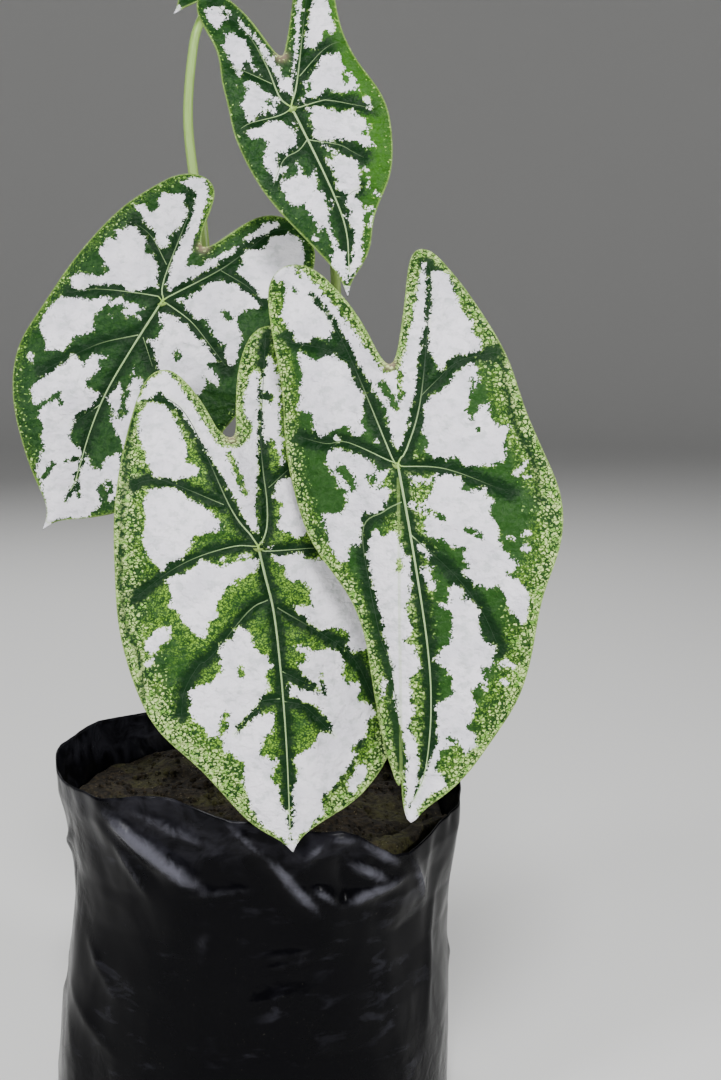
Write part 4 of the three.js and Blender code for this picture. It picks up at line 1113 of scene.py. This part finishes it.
def blade_sheet(outline):
    """Even sheet of small squares, trimmed and drawn out to the blade's outline."""
    low, high = outline.min(0) - BLADE_CELL, outline.max(0) + BLADE_CELL
    columns, rows = np.ceil((high - low) / BLADE_CELL).astype(int)
    sheet = bmesh.new()
    bmesh.ops.create_grid(sheet, x_segments=columns, y_segments=rows, size=0.5)
    bmesh.ops.scale(sheet, verts=sheet.verts, vec=(*(high - low), 1))
    bmesh.ops.translate(sheet, verts=sheet.verts, vec=(*(low + high) / 2, 0))
    centres = np.array([face.calc_center_median().xy for face in sheet.faces])
    inside = within(centres, outline)
    bmesh.ops.delete(sheet, geom=[f for f, keep in zip(sheet.faces, inside) if not keep], context="FACES")
    corners = {}
    for vert in sheet.verts:
        if len(vert.link_faces) == 1:
            corners.setdefault(vert.link_faces[0], []).append(vert)
    bmesh.ops.dissolve_verts(sheet, verts=[verts[0] for verts in corners.values() if len(verts) == 1])
    starts, ends = outline, np.roll(outline, -1, 0)
    along = ends - starts
    edge_verts = [vert for vert in sheet.verts if vert.is_boundary]
    for vert in edge_verts:
        at = np.array(vert.co.xy)
        share = np.clip(((at - starts) * along).sum(1) / (along ** 2).sum(1), 0, 1)
        feet = starts + share[:, None] * along
        vert.co.xy = feet[((feet - at) ** 2).sum(1).argmin()]
    tip = outline[outline[:, 1].argmin()]
    min(edge_verts, key=lambda vert: (vert.co.xy - Vector(tip)).length).co.xy = tip
    inner = {edge.other_vert(vert) for vert in edge_verts for edge in vert.link_edges} - set(edge_verts)
    for _ in range(3):
        bmesh.ops.smooth_vert(sheet, verts=list(inner), factor=0.5, use_axis_x=True, use_axis_y=True)
    for vert in sheet.verts:
        near = max(0, 1 - (vert.co.y - tip[1]) / (2 * DRIP))
        vert.co.y -= DRIP * near ** 3
    return sheet


def sinus_of(outline):
    """Lowest point of the notch between the lobes."""
    notch = outline[(abs(outline[:, 0]) < 8) & (outline[:, 1] > 5)]
    return notch[notch[:, 1].argmin()]


blade_finishes = [blade_finish("leaf_face", 0.0, 0.46), blade_finish("leaf_back", 0.5, 0.6)]
vein_skin = vein_finish()
for number, leaf in LEAVES.items():
    place = blade_place(number)
    face = smooth_face(number)
    rim = margin_of(face)
    outline = rim[:, :2]
    face_tree = BVHTree.FromBMesh(face)
    face.free()
    sheet = blade_sheet(outline)
    flat = np.array([vert.co.xy for vert in sheet.verts])
    vein_kinds = []
    for kind in VEIN_RADII:
        for line in leaf[kind]:
            grown = [(0, 0)] if 0 < math.hypot(*line[0]) < JOINT_REACH else []
            vein_kinds.append((kind, smooth_line(grown + line, VEIN_STEP)))
    vein = np.min([line_distance(flat, line) for _, line in vein_kinds], axis=0)
    seams = [line_distance(flat, smooth_line(line, SEAM_STEP)) for line in leaf["seam"]]
    band = np.min([vein] + [seam + SEAM_FAINT for seam in seams], axis=0)
    margin = line_distance(flat, np.vstack([outline, outline[:1]])[::2])
    if leaf["white"]:
        field = field_depth(flat, leaf)
    else:
        field = np.minimum(vein - PLAIN_BAND, margin - PLAIN_MARGIN)
    field = np.maximum(field, TIP_PALE - np.hypot(*(flat - outline[outline[:, 1].argmin()]).T))
    breadth = np.where(flat[:, 0] < 0, *leaf["net"][:2])
    net = leaf["net"][2] * np.clip(1 - margin / breadth, 0, 1) ** 0.7
    lime = np.clip(leaf["lime"][0] + leaf["lime"][1] * flat[:, 0], 0, 1)
    blush = BLUSH * np.exp(-(np.hypot(*(flat - sinus_of(outline)).T) / BLUSH_REACH) ** 2)
    relief = BLADE_PUCKER * (1 - np.exp(-((vein / PUCKER_REACH) ** 2)))
    relief = relief - VEIN_GROOVE * np.exp(-((vein / GROOVE_REACH) ** 2))
    relief *= np.clip(margin / CALM_MARGIN, 0, 1)
    marks = sheet.verts.layers.float_vector.new("marks")
    traits = sheet.verts.layers.float_vector.new("traits")
    for i, vert in enumerate(sheet.verts):
        down = face_tree.ray_cast(Vector((*vert.co.xy, CAST_HEIGHT)), Vector((0, 0, -1)))[0]
        nearest = rim[((outline - flat[i]) ** 2).sum(1).argmin()]
        vert.co.z = (down.z if down else nearest[2]) + relief[i]
        vert[marks] = (field[i] - FIELD_TRIM, band[i], margin[i])
        vert[traits] = (net[i], lime[i], blush[i])
    sheet_tree = BVHTree.FromBMesh(sheet)
    if sum(side.normal.z for side in sheet.faces) < 0:
        bmesh.ops.reverse_faces(sheet, faces=sheet.faces)
    bmesh.ops.transform(sheet, matrix=place, verts=sheet.verts)
    blade = as_piece(f"leaf_{number}_sheet", sheet, blade_finishes, f"leaf_{number}_blade")
    thickness = blade.modifiers.new("thickness", "SOLIDIFY")
    thickness.thickness = BLADE_THICK * MM
    thickness.offset = -1
    thickness.material_offset = 1
    rods = []
    for kind, line in vein_kinds:
        thick = np.linspace(*VEIN_RADII[kind], len(line))
        feet = [sheet_tree.ray_cast(Vector((*at, CAST_HEIGHT)), Vector((0, 0, -1)))[0] for at in line]
        along = [(at, radius) for at, radius in zip(feet, thick) if at is not None]
        upper = [place @ (at - Vector((0, 0, VEIN_SINK * radius))) for at, radius in along]
        rods.append((upper, [radius * MM for _, radius in along]))
        ribs = [(at, radius * RIB_SHARE) for at, radius in along]
        lower = [place @ (at - Vector((0, 0, BLADE_THICK + RIB_SINK * radius))) for at, radius in ribs]
        rods.append((lower, [radius * MM for _, radius in ribs]))
    veins = bmesh.new()
    veins.from_mesh(drawn_rods(f"leaf_{number}_veins", rods, 1))
    local = np.array([place.inverted() @ vert.co for vert in veins.verts])[:, :2]
    on_midrib = line_distance(local, smooth_line(leaf["midrib"][0], VEIN_STEP)) < MIDRIB_BREADTH
    faded = np.clip((PALE_REACH[1] - np.hypot(*local.T)) / (PALE_REACH[1] - PALE_REACH[0]), 0, 1)
    pale = veins.verts.layers.float.new("pale")
    for vert, whole, share, at in zip(veins.verts, on_midrib, faded, local):
        vert[pale] = (1 if whole else share) + max(0, 1 - math.hypot(*at) / JOINT_GLOW)
    as_piece(f"leaf_{number}_veins", veins, [vein_skin])


# Floor, light and camera
# A plain pale studio bowl without edges, a soft key light from the front and above, a soft light
# low on each side that glances off the film, and a large weak one from behind.
FLOOR_RADIUS = 2.6
BOWL_RISE = 1.6
BOWL_STEPS = 12


def area_light(name, at, aim, size, power):
    lamp = bpy.data.lights.new(name, "AREA")
    lamp.size = size
    lamp.energy = power
    light = bpy.data.objects.new(name, lamp)
    light.location = at
    light.rotation_euler = (Vector(at) - Vector(aim)).to_track_quat("Z", "Y").to_euler()
    bpy.context.scene.collection.objects.link(light)


bowl = bmesh.new()
profile = [bowl.verts.new((0, 0, 0)), bowl.verts.new((0.4, 0, 0)), bowl.verts.new((1.2, 0, 0))]
for step in range(BOWL_STEPS + 1):
    turn = step / BOWL_STEPS * math.pi / 2
    profile.append(bowl.verts.new((
        FLOOR_RADIUS + BOWL_RISE * math.sin(turn), 0, BOWL_RISE * (1 - math.cos(turn)),
    )))
edges = [bowl.edges.new(pair) for pair in zip(profile, profile[1:])]
bmesh.ops.spin(
    bowl, geom=profile + edges, cent=(0, 0, 0), axis=(0, 0, 1), angle=2 * math.pi, steps=96, use_merge=True,
)
bmesh.ops.remove_doubles(bowl, verts=bowl.verts, dist=1e-5)
bmesh.ops.recalc_face_normals(bowl, faces=bowl.faces)
floor_mesh = bpy.data.meshes.new("studio_floor")
bowl.to_mesh(floor_mesh)
bowl.free()
floor_mesh.shade_smooth()
floor_mesh.materials.append(new_finish("studio_floor", Base_Color=(0.72, 0.72, 0.71, 1), Roughness=0.8))
floor = bpy.data.objects.new("studio_floor", floor_mesh)
bpy.context.scene.collection.objects.link(floor)

area_light("key_light", (0.05, -1.1, 1.25), (0, 0, 0.25), 0.36, 26)
area_light("left_light", (-0.85, -0.75, 0.6), (0, 0, 0.2), 0.25, 8)
area_light("right_light", (1.0, -0.5, 0.55), (0, 0, 0.2), 0.25, 8)
area_light("back_light", (-0.3, 1.1, 1.2), (0, 0, 0.3), 0.8, 13)
world = bpy.data.worlds.new("studio")
world.use_nodes = True
world.node_tree.nodes["Background"].inputs["Color"].default_value = (1, 1, 1, 1)
world.node_tree.nodes["Background"].inputs["Strength"].default_value = 0.12
bpy.context.scene.world = world

lens = bpy.data.cameras.new("camera")
lens.lens = CAMERA_LENS
lens.sensor_width = CAMERA_SENSOR
camera = bpy.data.objects.new("camera", lens)
camera.location = CAMERA_AT
camera.rotation_euler = (math.radians(90 - CAMERA_PITCH), 0, 0)
bpy.context.scene.collection.objects.link(camera)
bpy.context.scene.camera = camera
